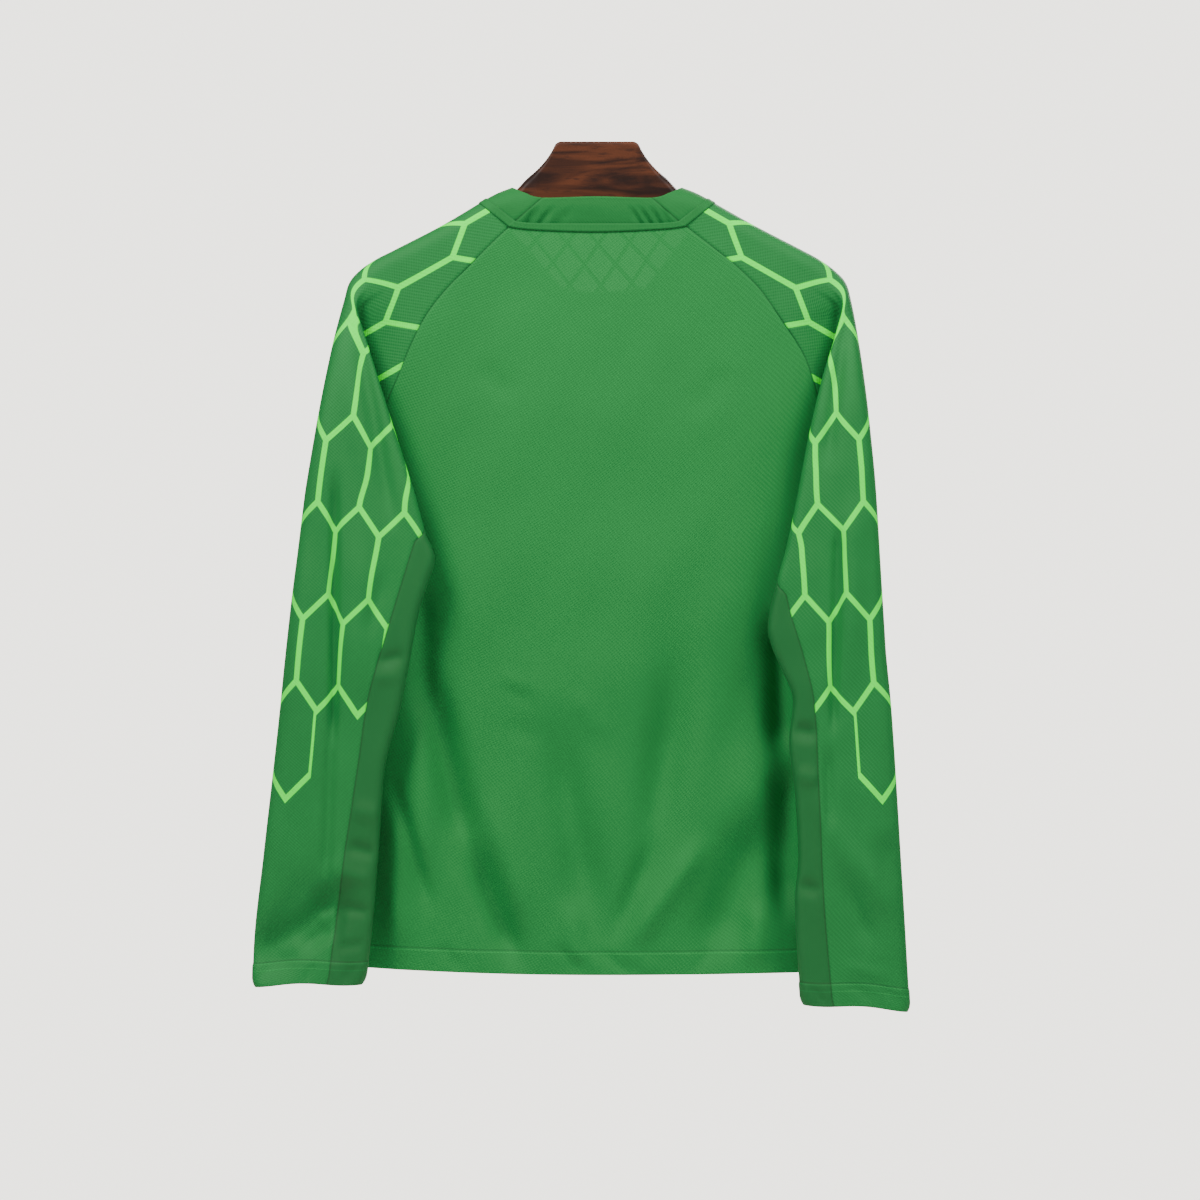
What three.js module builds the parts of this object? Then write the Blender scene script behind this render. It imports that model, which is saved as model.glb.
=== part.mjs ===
// A long-sleeved football jersey with raglan sleeves, hanging flat on a plain dark wooden hanger.
// Sizes are in millimetres. +Z is up, the back of the jersey faces -Y, and +X is the wearer's right.
// The origin is the middle of the flat top of the hanger's head.
import * as THREE from "three";

// Cloth: one layer of knit, the doubled hems and collar, and the gap left at every seam
const WALL = 1.5;
const COLLAR_WALL = 2;
const HEM_STEP = 0.8;
const FOLD_LINE = 1;
const SEAM_GAP = 0.4;
const UNDERARM_GAP = 2.2;
const UNDERARM_SPREAD = 1.6;
const BINDING_WIDTH = 8.6;
const BINDING_WALL = 0.9;
const BINDING_GAP = 0.3;

// Body: height of the underarm, half width across the back and the heights of the hem
const UNDERARM_UP = -306;
const UNDERARM_OUT = 221;
const HEM_UP = -777;
const HEM_DEPTH = 20;
const HEM_RISE_AT = 220;
const HEM_RISE_LEFT = 7;
const HEM_RISE_RIGHT = 3;
const NECK_HALF_WIDTH = 103;
const NECK_SIDE_UP = -53;
const NECK_BACK_UP = -77;
const NECK_FRONT_UP = -127;

// Hanger: head, arms and the clearance between wood and cloth
const HEAD_HALF_DEPTH = 12;
const ARM_HALF_DEPTH = 14;
const ARM_TIP_OUT = 219;
const WOOD_TO_CLOTH = 0.5;

// Grid sizes of the cloth walls. The rows above the underarm are shares of the raglan seams, close
// together round the shoulder tip. The sleeve's rows are shares of its length from where the
// underarm panel comes round the ridge to the cuff. Its columns run from the back seam to the
// valley, on to the ridge, on to the outer edge, and back along the rear layer.
const SHOULDER_SHARES = [0, 0.06, 0.14, 0.22, 0.3, 0.37, 0.41, 0.45, 0.5, 0.57, 0.66, 0.76, 0.88, 1];
const SLEEVE_SHARES = [0.03, 0.06, 0.09, 0.13, 0.17, 0.23, 0.3, 0.38, 0.47, 0.58, 0.7, 0.84];
const TO_VALLEY = 3;
const TO_RIDGE = 4;
const TO_EDGE = 12;
const REAR_COLUMNS = 9;
const BACK_COLUMNS = 21;
const FRONT_COLUMNS = 17;
const UNDERARM_COLUMNS = 6;
const SKIRT_ROWS = 9;

// How far along the shoulder the sleeve's fold starts, and how soon it is whole
const TIP = 0.41;
const FOLD_BIRTH = 0.1;

// Roundness of the sleeve's outer edge and inner ridge, and how much closer columns lie on a bend
const EDGE_SOFT = 17;
const RIDGE_SOFT = 9;
const BEND_WEIGHT = 12;

// Half depth and half width of the body at each height; the depth is the same in front and behind
const BODY = [
  { up: -50, depth: 20, width: 420 },
  { up: -127, depth: 22, width: 400 },
  { up: -200, depth: 26, width: 265 },
  { up: -260, depth: 29, width: 232 },
  { up: UNDERARM_UP, depth: 30, width: UNDERARM_OUT },
  { up: -450, depth: 31, width: 226 },
  { up: -600, depth: 30, width: 232 },
  { up: HEM_UP, depth: 28, width: 243 },
];

// How the sleeve hangs at each height: the middle and half depth of its outer edge,
// the two layers of its inner ridge and the two layers of the valley beside the body
const HANG = [
  { up: -53, edge: 0, half: 17, ridgeBack: -18, ridgeFace: -18, valleyBack: -18, valleyFace: -18 },
  { up: -127, edge: 0, half: 18, ridgeBack: -19, ridgeFace: -20, valleyBack: -17, valleyFace: -18 },
  { up: -160, edge: -12, half: 18, ridgeBack: -23, ridgeFace: -33, valleyBack: -13, valleyFace: -19 },
  { up: -200, edge: -28, half: 18, ridgeBack: -30, ridgeFace: -45, valleyBack: -9, valleyFace: -20 },
  { up: -250, edge: -40, half: 17, ridgeBack: -33, ridgeFace: -52, valleyBack: -7, valleyFace: -19 },
  { up: -306, edge: -45, half: 16, ridgeBack: -34, ridgeFace: -56, valleyBack: -4, valleyFace: -18 },
  { up: -340, edge: -46, half: 14, ridgeBack: -34, ridgeFace: -58, valleyBack: -3, valleyFace: -18 },
  { up: -450, edge: -46, half: 13, ridgeBack: -34, ridgeFace: -58, valleyBack: -3, valleyFace: -18 },
  { up: -810, edge: -45, half: 12, ridgeBack: -34, ridgeFace: -56, valleyBack: -3, valleyFace: -18 },
];

// Where the sleeve's underarm line leaves the side seam and joins its back layer,
// by the distance below the underarm point
const UNDERARM_TURN = [
  { up: 0, out: 221, point: -1, valley: -18 },
  { up: -14, out: 222.5, point: -14, valley: -25 },
  { up: -28, out: 222, point: -25, valley: -31 },
  { up: -52, out: 217, point: -33.5, valley: -34 },
];

// The two sleeves hang differently. Each has its raglan seams, its outer edge from the neck over
// the shoulder to the cuff, its inner ridge and the edge of its underarm panel.
const LEFT = {
  sign: -1,
  sleeveKey: "leftSleeve",
  panelKey: "leftPanel",
  cuffInner: -784,
  cuffOuter: -786,
  backSeam: [
    { out: 76, up: -74.5 },
    { out: 98, up: -95 },
    { out: 123, up: -120 },
    { out: 144, up: -142 },
    { out: 161, up: -165 },
    { out: 175, up: -193 },
    { out: 186, up: -220 },
    { out: 204, up: -261 },
    { out: UNDERARM_OUT, up: UNDERARM_UP },
  ],
  topLine: [
    { out: NECK_HALF_WIDTH, up: NECK_SIDE_UP },
    { out: 144, up: -77.5 },
    { out: 187, up: -99.8 },
    { out: 207, up: -110 },
    { out: 222, up: -120.5 },
    { out: 231.5, up: -132 },
    { out: 236.2, up: -148.8 },
    { out: 245.5, up: -186 },
    { out: 256.7, up: -241.8 },
    { out: 267.8, up: UNDERARM_UP },
  ],
  edge: [
    { up: UNDERARM_UP, outer: 267.8, ridge: 176.3 },
    { up: -326, outer: 271, ridge: 170 },
    { up: -366, outer: 276, ridge: 159 },
    { up: -390, outer: 279, ridge: 150.5 },
    { up: -409, outer: 281.5, ridge: 156 },
    { up: -438, outer: 285, ridge: 165 },
    { up: -488, outer: 290.5, ridge: 174.5 },
    { up: -526, outer: 294.3, ridge: 182 },
    { up: -587, outer: 301, ridge: 197.5 },
    { up: -663, outer: 309.8, ridge: 203 },
    { up: -754, outer: 319.3, ridge: 211 },
    { up: -786, outer: 320, ridge: 216 },
  ],
  fold: [
    { up: -128, ridge: 231, valley: 229 },
    { up: -159, ridge: 223, valley: 226 },
    { up: -195, ridge: 211.6, valley: 224 },
    { up: -232, ridge: 200, valley: 224 },
    { up: -278, ridge: 185.4, valley: 224 },
    { up: UNDERARM_UP, ridge: 176.3, valley: 225 },
  ],
  panel: [
    { up: -353, seam: 162.5, hidden: 215 },
    { up: -386, seam: 173, hidden: 208 },
    { up: -465, seam: 197, hidden: 212 },
    { up: -523, seam: 213, hidden: 218 },
    { up: -583, seam: 222, hidden: 226 },
    { up: -663, seam: 234, hidden: 236 },
    { up: -744, seam: 244.5, hidden: 246 },
    { up: -786, seam: 250, hidden: 252 },
  ],
  creases: [
    { fromUp: -165, toUp: -362, fromOut: 226, toOut: 186, width: 7, depth: 3.5 },
    { fromUp: -310, toUp: -715, fromOut: 246, toOut: 251, width: 7, depth: 3.5 },
  ],
};

const RIGHT = {
  sign: 1,
  sleeveKey: "rightSleeve",
  panelKey: "rightPanel",
  cuffInner: -803,
  cuffOuter: -809,
  backSeam: [
    { out: 76, up: -74.5 },
    { out: 103, up: -95 },
    { out: 127, up: -114 },
    { out: 150, up: -136 },
    { out: 169, up: -162 },
    { out: 186, up: -187 },
    { out: 197, up: -209 },
    { out: 211, up: -256 },
    { out: UNDERARM_OUT, up: UNDERARM_UP },
  ],
  topLine: [
    { out: NECK_HALF_WIDTH, up: NECK_SIDE_UP },
    { out: 144, up: -76.3 },
    { out: 187, up: -98.6 },
    { out: 208, up: -110 },
    { out: 223, up: -121 },
    { out: 232.5, up: -132 },
    { out: 237.2, up: -148.8 },
    { out: 243.7, up: -186 },
    { out: 251.1, up: -241.8 },
    { out: 257.7, up: UNDERARM_UP },
  ],
  edge: [
    { up: UNDERARM_UP, outer: 257.7, ridge: 190.6 },
    { up: -326, outer: 259.3, ridge: 187 },
    { up: -378, outer: 262.5, ridge: 176 },
    { up: -407, outer: 264.2, ridge: 168 },
    { up: -455, outer: 267.2, ridge: 158.5 },
    { up: -472, outer: 268.2, ridge: 162.5 },
    { up: -487, outer: 269.5, ridge: 169 },
    { up: -522, outer: 273, ridge: 182 },
    { up: -560, outer: 275.8, ridge: 178.5 },
    { up: -610, outer: 279, ridge: 184 },
    { up: -668, outer: 282.6, ridge: 186.9 },
    { up: -710, outer: 285.2, ridge: 183.8 },
    { up: -809, outer: 291, ridge: 189.5 },
  ],
  fold: [
    { up: -128, ridge: 232, valley: 230 },
    { up: -155, ridge: 228.5, valley: 228 },
    { up: -184, ridge: 220.8, valley: 226 },
    { up: -220, ridge: 209.6, valley: 225 },
    { up: -271, ridge: 197.5, valley: 224 },
    { up: UNDERARM_UP, ridge: 190.6, valley: 225 },
  ],
  panel: [
    { up: -402, seam: 171, hidden: 213 },
    { up: -440, seam: 179.5, hidden: 210 },
    { up: -480, seam: 191.6, hidden: 208 },
    { up: -523, seam: 201.4, hidden: 212 },
    { up: -602, seam: 206, hidden: 214 },
    { up: -699, seam: 210, hidden: 216 },
    { up: -809, seam: 219, hidden: 222 },
  ],
  creases: [
    { fromUp: -150, toUp: -300, fromOut: 233, toOut: 214, width: 7, depth: 3 },
    { fromUp: -350, toUp: -540, fromOut: 224, toOut: 219, width: 7, depth: 4 },
    { fromUp: -560, toUp: -760, fromOut: 246, toOut: 250, width: 8, depth: 2.5 },
  ],
};

// Soft folds that run down the panels, each from an upper to a lower point; x as seen from behind
const BACK_FOLDS = [
  { fromX: -150, fromUp: -560, toX: -104, toUp: -790, width: 16, depth: 5 },
  { fromX: -36, fromUp: -540, toX: 14, toUp: -790, width: 17, depth: 4 },
  { fromX: 112, fromUp: -440, toX: 36, toUp: -760, width: 20, depth: 4 },
  { fromX: 150, fromUp: -500, toX: 118, toUp: -790, width: 16, depth: 5 },
  { fromX: -188, fromUp: -560, toX: -178, toUp: -790, width: 13, depth: 4 },
];
const FRONT_FOLDS = [
  { fromX: 130, fromUp: -520, toX: 92, toUp: -790, width: 18, depth: 5 },
  { fromX: 40, fromUp: -480, toX: 8, toUp: -790, width: 20, depth: 4 },
  { fromX: -70, fromUp: -500, toX: -84, toUp: -790, width: 18, depth: 5 },
  { fromX: -150, fromUp: -560, toX: -166, toUp: -790, width: 15, depth: 4 },
];

// Front raglan seam, the same on both sides
const FRONT_SEAM = [
  { out: 86, up: -84 },
  { out: 108, up: -112 },
  { out: 134, up: -146 },
  { out: 160, up: -187 },
  { out: 184, up: -228 },
  { out: 204, up: -267 },
  { out: UNDERARM_OUT, up: UNDERARM_UP },
];

// Top edge of the collar from the middle of the back round the side to the middle of the front,
// and the outline of the hanger's wood from the middle of its head to the tip of an arm
const COLLAR_TOP = [
  { x: 0, y: -21.5, z: -51.6 },
  { x: 51, y: -21, z: -52.6 },
  { x: 68, y: -15, z: -47.2 },
  { x: 79, y: 0, z: -42.6 },
  { x: 75, y: 14, z: -51.5 },
  { x: 60, y: 20, z: -70 },
  { x: 34, y: 23, z: -90 },
  { x: 0, y: 24, z: -99 },
];
const COLLAR_SEAM = 1;
const COLLAR_SIDE = 3;
const COLLAR_FRONT_SEAM = 4;

// Reads one column of a table at a height, on a smooth curve through its rows that never overshoots.
function read(table, column, up) {
  const last = table.length - 1;
  if (up >= table[0].up) return table[0][column];
  if (up <= table[last].up) return table[last][column];
  const low = table.findIndex((row) => row.up <= up);
  const slope = (i) => (table[i][column] - table[i - 1][column]) / (table[i].up - table[i - 1].up);
  const tangent = (i) => {
    if (i === 0) return slope(1);
    if (i === last) return slope(last);
    const product = slope(i) * slope(i + 1);
    return product <= 0 ? 0 : (2 * product) / (slope(i) + slope(i + 1));
  };
  const span = table[low].up - table[low - 1].up;
  const s = (up - table[low - 1].up) / span;
  const bend = s * s * (3 - 2 * s);
  const start = tangent(low - 1) * span * s * (1 - s) * (1 - s);
  const end = tangent(low) * span * s * s * (s - 1);
  return THREE.MathUtils.lerp(table[low - 1][column], table[low][column], bend) + start + end;
}

const seamCurve = (rows) =>
  new THREE.SplineCurve(rows.map((row) => new THREE.Vector2(row.out, row.up)));

// Depth of soft troughs at a point of a panel or sleeve: a bell across each fold, faded at its ends.
function troughs(folds, across, up, names) {
  let depth = 0;
  for (const fold of folds) {
    const along = (fold.fromUp - up) / (fold.fromUp - fold.toUp);
    if (along <= 0 || along >= 1) continue;
    const middle = THREE.MathUtils.lerp(fold[names.from], fold[names.to], along);
    const offset = (across - middle) / fold.width;
    const fade = Math.min(1, 4 * along) * Math.min(1, 8 * (1 - along) + (fold.toUp <= HEM_UP ? 1 : 0));
    depth += fold.depth * fade * Math.exp(-offset * offset);
  }
  return depth;
}

// Half depth of the body at a place: a flat oval, with its troughs pressed in.
function bodyDepth(x, up, folds) {
  const across = Math.min(1, Math.abs(x) / read(BODY, "width", up));
  const oval = Math.sqrt(Math.max(0, 1 - across ** 3));
  return read(BODY, "depth", up) * oval - troughs(folds, x, up, { from: "fromX", to: "toX" }) * oval;
}

// A path through corners, each rounded by its own softness, as closely spaced points.
function roundedPath(corners) {
  const steps = 7;
  const points = [corners[0].at.clone()];
  for (let i = 1; i < corners.length - 1; i += 1) {
    const here = corners[i];
    const ends = [corners[i - 1], corners[i + 1]].map((other) => {
      const length = here.at.distanceTo(other.at);
      const share = here.soft / (here.soft + other.soft + 1e-6);
      return here.at.clone().lerp(other.at, Math.min(here.soft, length * share) / (length + 1e-6));
    });
    const round = new THREE.QuadraticBezierCurve3(ends[0], here.at, ends[1]);
    for (let n = 0; n <= steps; n += 1) points.push(round.getPoint(n / steps));
  }
  points.push(corners[corners.length - 1].at.clone());
  return points;
}

const lengthOf = (path) =>
  path.reduce((sum, point, i) => sum + (i ? point.distanceTo(path[i - 1]) : 0), 0);

// The part of a path between two distances along it.
function cutPath(path, from, to) {
  const kept = [];
  let gone = 0;
  for (let i = 1; i < path.length; i += 1) {
    const step = path[i].distanceTo(path[i - 1]);
    const at = (distance) => path[i - 1].clone().lerp(path[i], (distance - gone) / (step || 1));
    if (!kept.length && gone + step >= from) kept.push(at(from));
    if (kept.length && gone + step >= to) {
      kept.push(at(to));
      return kept;
    }
    if (kept.length && gone + step > from) kept.push(path[i].clone());
    gone += step;
  }
  return kept;
}

// Points along a path, spaced by its length and closer where it bends.
function spread(path, count, bendWeight) {
  const marks = [0];
  for (let i = 1; i < path.length; i += 1) {
    const here = path[i].clone().sub(path[i - 1]);
    const step = here.length();
    const next = path[i + 1] ? path[i + 1].clone().sub(path[i]) : here;
    const bend = step > 1e-6 && next.length() > 1e-6 ? here.angleTo(next) : 0;
    marks.push(marks[i - 1] + step + bendWeight * bend);
  }
  const total = marks[marks.length - 1];
  const row = [];
  let i = 1;
  for (let n = 0; n < count; n += 1) {
    const mark = (total * n) / (count - 1);
    while (i < path.length - 1 && marks[i] < mark) i += 1;
    const share = (mark - marks[i - 1]) / (marks[i] - marks[i - 1] || 1);
    row.push(path[i - 1].clone().lerp(path[i], THREE.MathUtils.clamp(share, 0, 1)));
  }
  return row;
}

const corner = (out, y, up, soft) => ({ at: new THREE.Vector3(out, y, up), soft });

// The four turns of the fold beside the body: where each starts on the flat row at the shoulder
// tip, its height between the raglan seam and the outer edge once grown, and its tables' columns
const FOLD_TURNS = [
  { birth: 0.7, grown: 0.42, out: "valley", layer: "valleyBack", soft: 6 },
  { birth: 0.78, grown: 0.48, out: "valley", layer: "valleyFace", soft: 6 },
  { birth: 0.88, grown: 0.6, out: "ridge", layer: "ridgeBack", soft: RIDGE_SOFT },
  { birth: 0.96, grown: 0.66, out: "ridge", layer: "ridgeFace", soft: RIDGE_SOFT },
];

// One row of a sleeve between the neck and the underarm, from the back raglan seam over the
// outer edge to the front raglan seam. Below the shoulder tip the cloth doubles back beside the
// body in a valley and turns again at the sleeve's inner ridge.
function shoulderRow(side, along) {
  const back = side.backCurve.getPointAt(along);
  const top = side.topCurve.getPointAt(along);
  const front = side.frontCurve.getPointAt(along);
  const edge = read(HANG, "edge", top.y);
  const half = read(HANG, "half", top.y);
  const fold = THREE.MathUtils.smoothstep(along, TIP, TIP + FOLD_BIRTH);
  const backDepth = Math.max(bodyDepth(back.x, back.y, []), UNDERARM_SPREAD);
  const frontDepth = Math.max(bodyDepth(front.x, front.y, []), UNDERARM_SPREAD);
  const start = corner(back.x, -backDepth, back.y, 0);
  const upper = corner(top.x, edge - half, top.y, EDGE_SOFT);
  const middle = corner(top.x, edge, top.y, 0);
  const lower = corner(top.x, edge + half, top.y, EDGE_SOFT);
  const end = corner(front.x, frontDepth, front.y, 0);
  const straightShare = 1 - EDGE_SOFT / start.at.distanceTo(upper.at);
  const turns = FOLD_TURNS.map((turn) => {
    const straight = start.at.clone().lerp(upper.at, turn.birth * straightShare);
    const up = THREE.MathUtils.lerp(back.y, top.y, turn.grown);
    const turned = new THREE.Vector3(read(side.fold, turn.out, up), read(HANG, turn.layer, up), up);
    return { at: straight.lerp(turned, fold), soft: turn.soft * fold };
  });
  const between = (one, other) => ({ at: one.at.clone().lerp(other.at, 0.5), soft: 0 });
  const valley = between(turns[0], turns[1]);
  const ridge = between(turns[2], turns[3]);
  return [
    ...spread(roundedPath([start, turns[0], valley]), TO_VALLEY + 1, BEND_WEIGHT),
    ...spread(roundedPath([valley, turns[1], turns[2], ridge]), TO_RIDGE + 1, BEND_WEIGHT).slice(1),
    ...spread(roundedPath([ridge, turns[3], upper, middle]), TO_EDGE + 1, BEND_WEIGHT).slice(1),
    ...spread(roundedPath([middle, lower, end]), REAR_COLUMNS, BEND_WEIGHT).slice(1),
  ];
}

// One row of the sleeve below the underarm: a loop from the outer edge along the rear layer,
// past the underarm line and round the inner ridge, and back over the face.
function tubeRow(side, up) {
  const outer = read(side.edge, "outer", up);
  const ridge = read(side.edge, "ridge", up);
  const edge = read(HANG, "edge", up);
  const half = read(HANG, "half", up);
  const below = up - UNDERARM_UP;
  const turn = THREE.MathUtils.smoothstep(-below, 0, 52);
  const turnSoft = 5 * (1 - turn) + 1;
  const settled = (out, share) => THREE.MathUtils.lerp(out, THREE.MathUtils.lerp(ridge, outer, share), turn);
  const pointOut = settled(read(UNDERARM_TURN, "out", below), 0.5);
  const valleyOut = settled(read(side.fold, "valley", UNDERARM_UP), 0.4);
  const point = corner(pointOut, read(UNDERARM_TURN, "point", below), up, turnSoft);
  const path = roundedPath([
    corner(outer, edge, up, 0),
    corner(outer, edge + half, up, EDGE_SOFT),
    point,
    corner(valleyOut, read(UNDERARM_TURN, "valley", below), up, turnSoft),
    corner(ridge, read(HANG, "ridgeBack", up), up, RIDGE_SOFT),
    corner(ridge, read(HANG, "ridgeFace", up), up, RIDGE_SOFT),
    corner(outer, edge - half, up, EDGE_SOFT),
    corner(outer, edge, up, 0),
  ]);
  return { path, ...tubeSeams(side, up, path, point.at) };
}

// Distances along a sleeve's loop to its ridge and to the two edges of its underarm panel. The
// panel starts as a point at the underarm, and its visible edge comes round the ridge at the
// first row of the table.
function tubeSeams(side, up, path, underarm) {
  const distances = [0];
  path.forEach((point, i) => {
    if (i) distances.push(distances[i - 1] + point.distanceTo(path[i - 1]));
  });
  const nearest = (measure) =>
    path.reduce((best, point, i) => (measure(point) < measure(path[best]) ? i : best), 0);
  const atPoint = nearest((point) => point.distanceTo(underarm));
  const atRidge = nearest((point) => point.x);
  const cross = (from, to, out) => {
    for (let i = from; i < to; i += 1) {
      const [here, next] = [path[i].x - out, path[i + 1].x - out];
      if (here * next <= 0 && here !== next) {
        return THREE.MathUtils.lerp(distances[i], distances[i + 1], here / (here - next));
      }
    }
    return distances[to];
  };
  const reach = THREE.MathUtils.clamp((UNDERARM_UP - up) / (UNDERARM_UP - side.panel[0].up), 0, 1);
  const rear = cross(0, atRidge, read(side.panel, "hidden", up));
  const face = cross(atRidge, path.length - 1, Math.max(read(side.panel, "seam", up), path[atRidge].x + 0.3));
  return {
    toRear: THREE.MathUtils.lerp(distances[atPoint], rear, reach),
    toRidge: distances[atRidge],
    toFace: reach < 1 ? THREE.MathUtils.lerp(distances[atPoint], distances[atRidge], reach) : face,
    total: distances[path.length - 1],
  };
}

// Heights of the sleeve's rows below the underarm: one for each column that passes round the
// ridge before the underarm panel shows, then down to the turned cuff.
function tubeHeights(side) {
  const shows = side.panel[0].up;
  const cuff = (side.cuffInner + side.cuffOuter) / 2;
  const heights = [];
  const passing = TO_VALLEY + TO_RIDGE;
  for (let k = 1; k <= passing; k += 1) heights.push(THREE.MathUtils.lerp(UNDERARM_UP, shows, k / passing));
  for (const share of SLEEVE_SHARES) heights.push(THREE.MathUtils.lerp(shows, cuff + HEM_DEPTH, share));
  return [...heights, cuff + HEM_DEPTH, cuff + HEM_DEPTH - FOLD_LINE, cuff];
}

// The cuff is cut a little aslant: a row tilts more the nearer it is to the cuff.
function tilt(side, point, up) {
  const middle = (side.cuffInner + side.cuffOuter) / 2;
  const share = THREE.MathUtils.smoothstep(-up, -UNDERARM_UP + 200, -middle);
  const width = read(side.edge, "outer", up) - read(side.edge, "ridge", up);
  const across = (point.x - read(side.edge, "ridge", up)) / width - 0.5;
  point.z += share * across * (side.cuffOuter - side.cuffInner);
}

// Columns along a path with one of them exactly at a given distance, such as a ridge.
function spreadThrough(path, from, through, to, segments) {
  const share = THREE.MathUtils.clamp((through - from) / (to - from), 0, 1);
  const before = THREE.MathUtils.clamp(Math.round(segments * share), 1, segments - 1);
  return [
    ...spread(cutPath(path, from, through), before + 1, BEND_WEIGHT),
    ...spread(cutPath(path, through, to), segments - before + 1, BEND_WEIGHT).slice(1),
  ];
}

// All rows of one sleeve and of its underarm panel, on the wearer's right; creases are pressed
// into the face that looks backwards.
function sleeveRows(side) {
  const sleeve = SHOULDER_SHARES.map((along) => shoulderRow(side, along));
  const panel = [];
  const passing = TO_VALLEY + TO_RIDGE;
  tubeHeights(side).forEach((up, n) => {
    const { path, toRear, toRidge, toFace, total } = tubeRow(side, up);
    const hidden = Math.max(0, passing - 1 - n);
    const face = hidden
      ? [
          ...spread(cutPath(path, toFace, toRidge), hidden + 1, BEND_WEIGHT),
          ...spread(cutPath(path, toRidge, total), passing + TO_EDGE - hidden + 1, BEND_WEIGHT).slice(1),
        ]
      : spread(cutPath(path, toFace, total), passing + TO_EDGE + 1, BEND_WEIGHT);
    const rear = spread(cutPath(path, 0, toRear), REAR_COLUMNS, BEND_WEIGHT);
    const strip = n < passing
      ? spread(cutPath(path, toRear, toFace), UNDERARM_COLUMNS, BEND_WEIGHT)
      : spreadThrough(path, toRear, toRidge, toFace, UNDERARM_COLUMNS - 1);
    for (const point of [...face, ...rear.slice(1), ...strip]) tilt(side, point, up);
    sleeve.push([...face, ...rear.slice(1)]);
    panel.push(strip);
  });
  for (const point of sleeve.flat()) {
    const edge = read(HANG, "edge", point.z);
    const face = THREE.MathUtils.smoothstep(-point.y, -edge, 8 - edge);
    point.y += face * troughs(side.creases, point.x, point.z, { from: "fromOut", to: "toOut" });
  }
  return { sleeve, panel };
}

// Puts rows made for the wearer's right on their own side, always running counterclockwise from above.
function onSide(rows, side) {
  if (side.sign > 0) return rows;
  return rows.map((row) => row.map((p) => new THREE.Vector3(-p.x, p.y, p.z)).reverse());
}

// The hem rises a little towards both side seams, more on the wearer's left.
const hemRise = (x) => (x / HEM_RISE_AT) ** 2 * (x < 0 ? HEM_RISE_LEFT : HEM_RISE_RIGHT);

// Rows of a body panel: across the shoulders between the raglan seams, then down to the hem.
function bodyRows(face, columns, folds) {
  const rows = [];
  const neckUp = (x) => {
    const share = Math.abs(x) / NECK_HALF_WIDTH;
    if (face < 0) return NECK_BACK_UP + (NECK_SIDE_UP - NECK_BACK_UP) * share ** 8;
    return NECK_FRONT_UP + 66 * share ** 2.4;
  };
  const seamOf = (side) => (face < 0 ? side.backCurve : side.frontCurve);
  const onBody = (x, up) => new THREE.Vector3(x, face * bodyDepth(x, up, folds), up);
  for (const along of SHOULDER_SHARES) {
    const left = seamOf(LEFT).getPointAt(along);
    const right = seamOf(RIGHT).getPointAt(along);
    const path = [];
    for (let n = 0; n <= 60; n += 1) {
      const share = n / 60;
      const x = THREE.MathUtils.lerp(-left.x, right.x, share);
      const straight = THREE.MathUtils.lerp(left.y, right.y, share);
      const start = THREE.MathUtils.lerp(seamOf(LEFT).getPointAt(0).x, seamOf(RIGHT).getPointAt(0).x, share);
      const neckX = THREE.MathUtils.lerp(-start, start, share);
      const dip = neckUp(neckX) - neckUp(start);
      path.push(onBody(x, straight + dip * (1 - along) ** 1.6));
    }
    rows.push(spread(path, columns, 6));
  }
  for (let i = 1; i <= SKIRT_ROWS; i += 1) {
    const length = UNDERARM_UP - HEM_UP;
    const stops = SKIRT_ROWS - 2;
    const inHem = (SKIRT_ROWS - i) * (HEM_DEPTH - FOLD_LINE);
    const drop = i <= stops ? (length - HEM_DEPTH) * (i / stops) : length - inHem;
    const up = UNDERARM_UP - drop;
    const width = read(BODY, "width", up);
    const path = [];
    for (let n = 0; n <= 90; n += 1) {
      const turn = Math.PI * (n / 90 - 0.5);
      const x = width * Math.sign(turn) * Math.abs(Math.sin(turn)) ** (2 / 3);
      path.push(onBody(x, up));
    }
    const row = spread(path, columns, 10);
    for (const point of row) point.z += (drop / length) ** 2 * hemRise(point.x);
    rows.push(row);
  }
  return face < 0 ? rows : rows.map((row) => row.reverse());
}

// Outward normals of a grid of points whose columns run counterclockwise and whose rows run down.
function gridNormals(rows, wrap) {
  return rows.map((row, i) =>
    row.map((point, j) => {
      const before = wrap ? row[(j + row.length - 1) % row.length] : row[Math.max(j - 1, 0)];
      const after = wrap ? row[(j + 1) % row.length] : row[Math.min(j + 1, row.length - 1)];
      const above = rows[Math.max(i - 1, 0)][j];
      const below = rows[Math.min(i + 1, rows.length - 1)][j];
      const across = after.clone().sub(before);
      const down = below.clone().sub(above);
      return down.cross(across).normalize();
    }),
  );
}

// Draws the edges of a grid back by half a seam gap, along the cloth. The body panels end a
// little further back where four pieces meet at the underarm.
function drawBack(rows, edges) {
  const last = rows.length - 1;
  const toward = (from, to, gap = SEAM_GAP / 2) => to.clone().sub(from).setLength(gap);
  if (edges.top) rows[0].forEach((p, j) => p.add(toward(p, rows[1][j])));
  if (edges.bottom) rows[last].forEach((p, j) => p.add(toward(p, rows[last - 1][j])));
  if (edges.sides) {
    rows.forEach((row, i) => {
      const end = row.length - 1;
      const gap = edges.underarmRow === i ? UNDERARM_GAP : SEAM_GAP / 2;
      row[0].add(toward(row[0], row[1], gap));
      row[end].add(toward(row[end], row[end - 1], gap));
    });
  }
  return rows;
}

// Gives both sides of a seam the same outward directions, so that their cut edges face each other.
function matchSeam(ones, others) {
  ones.forEach((one, i) => {
    one.add(others[i]).normalize();
    others[i].copy(one);
  });
}

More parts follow.
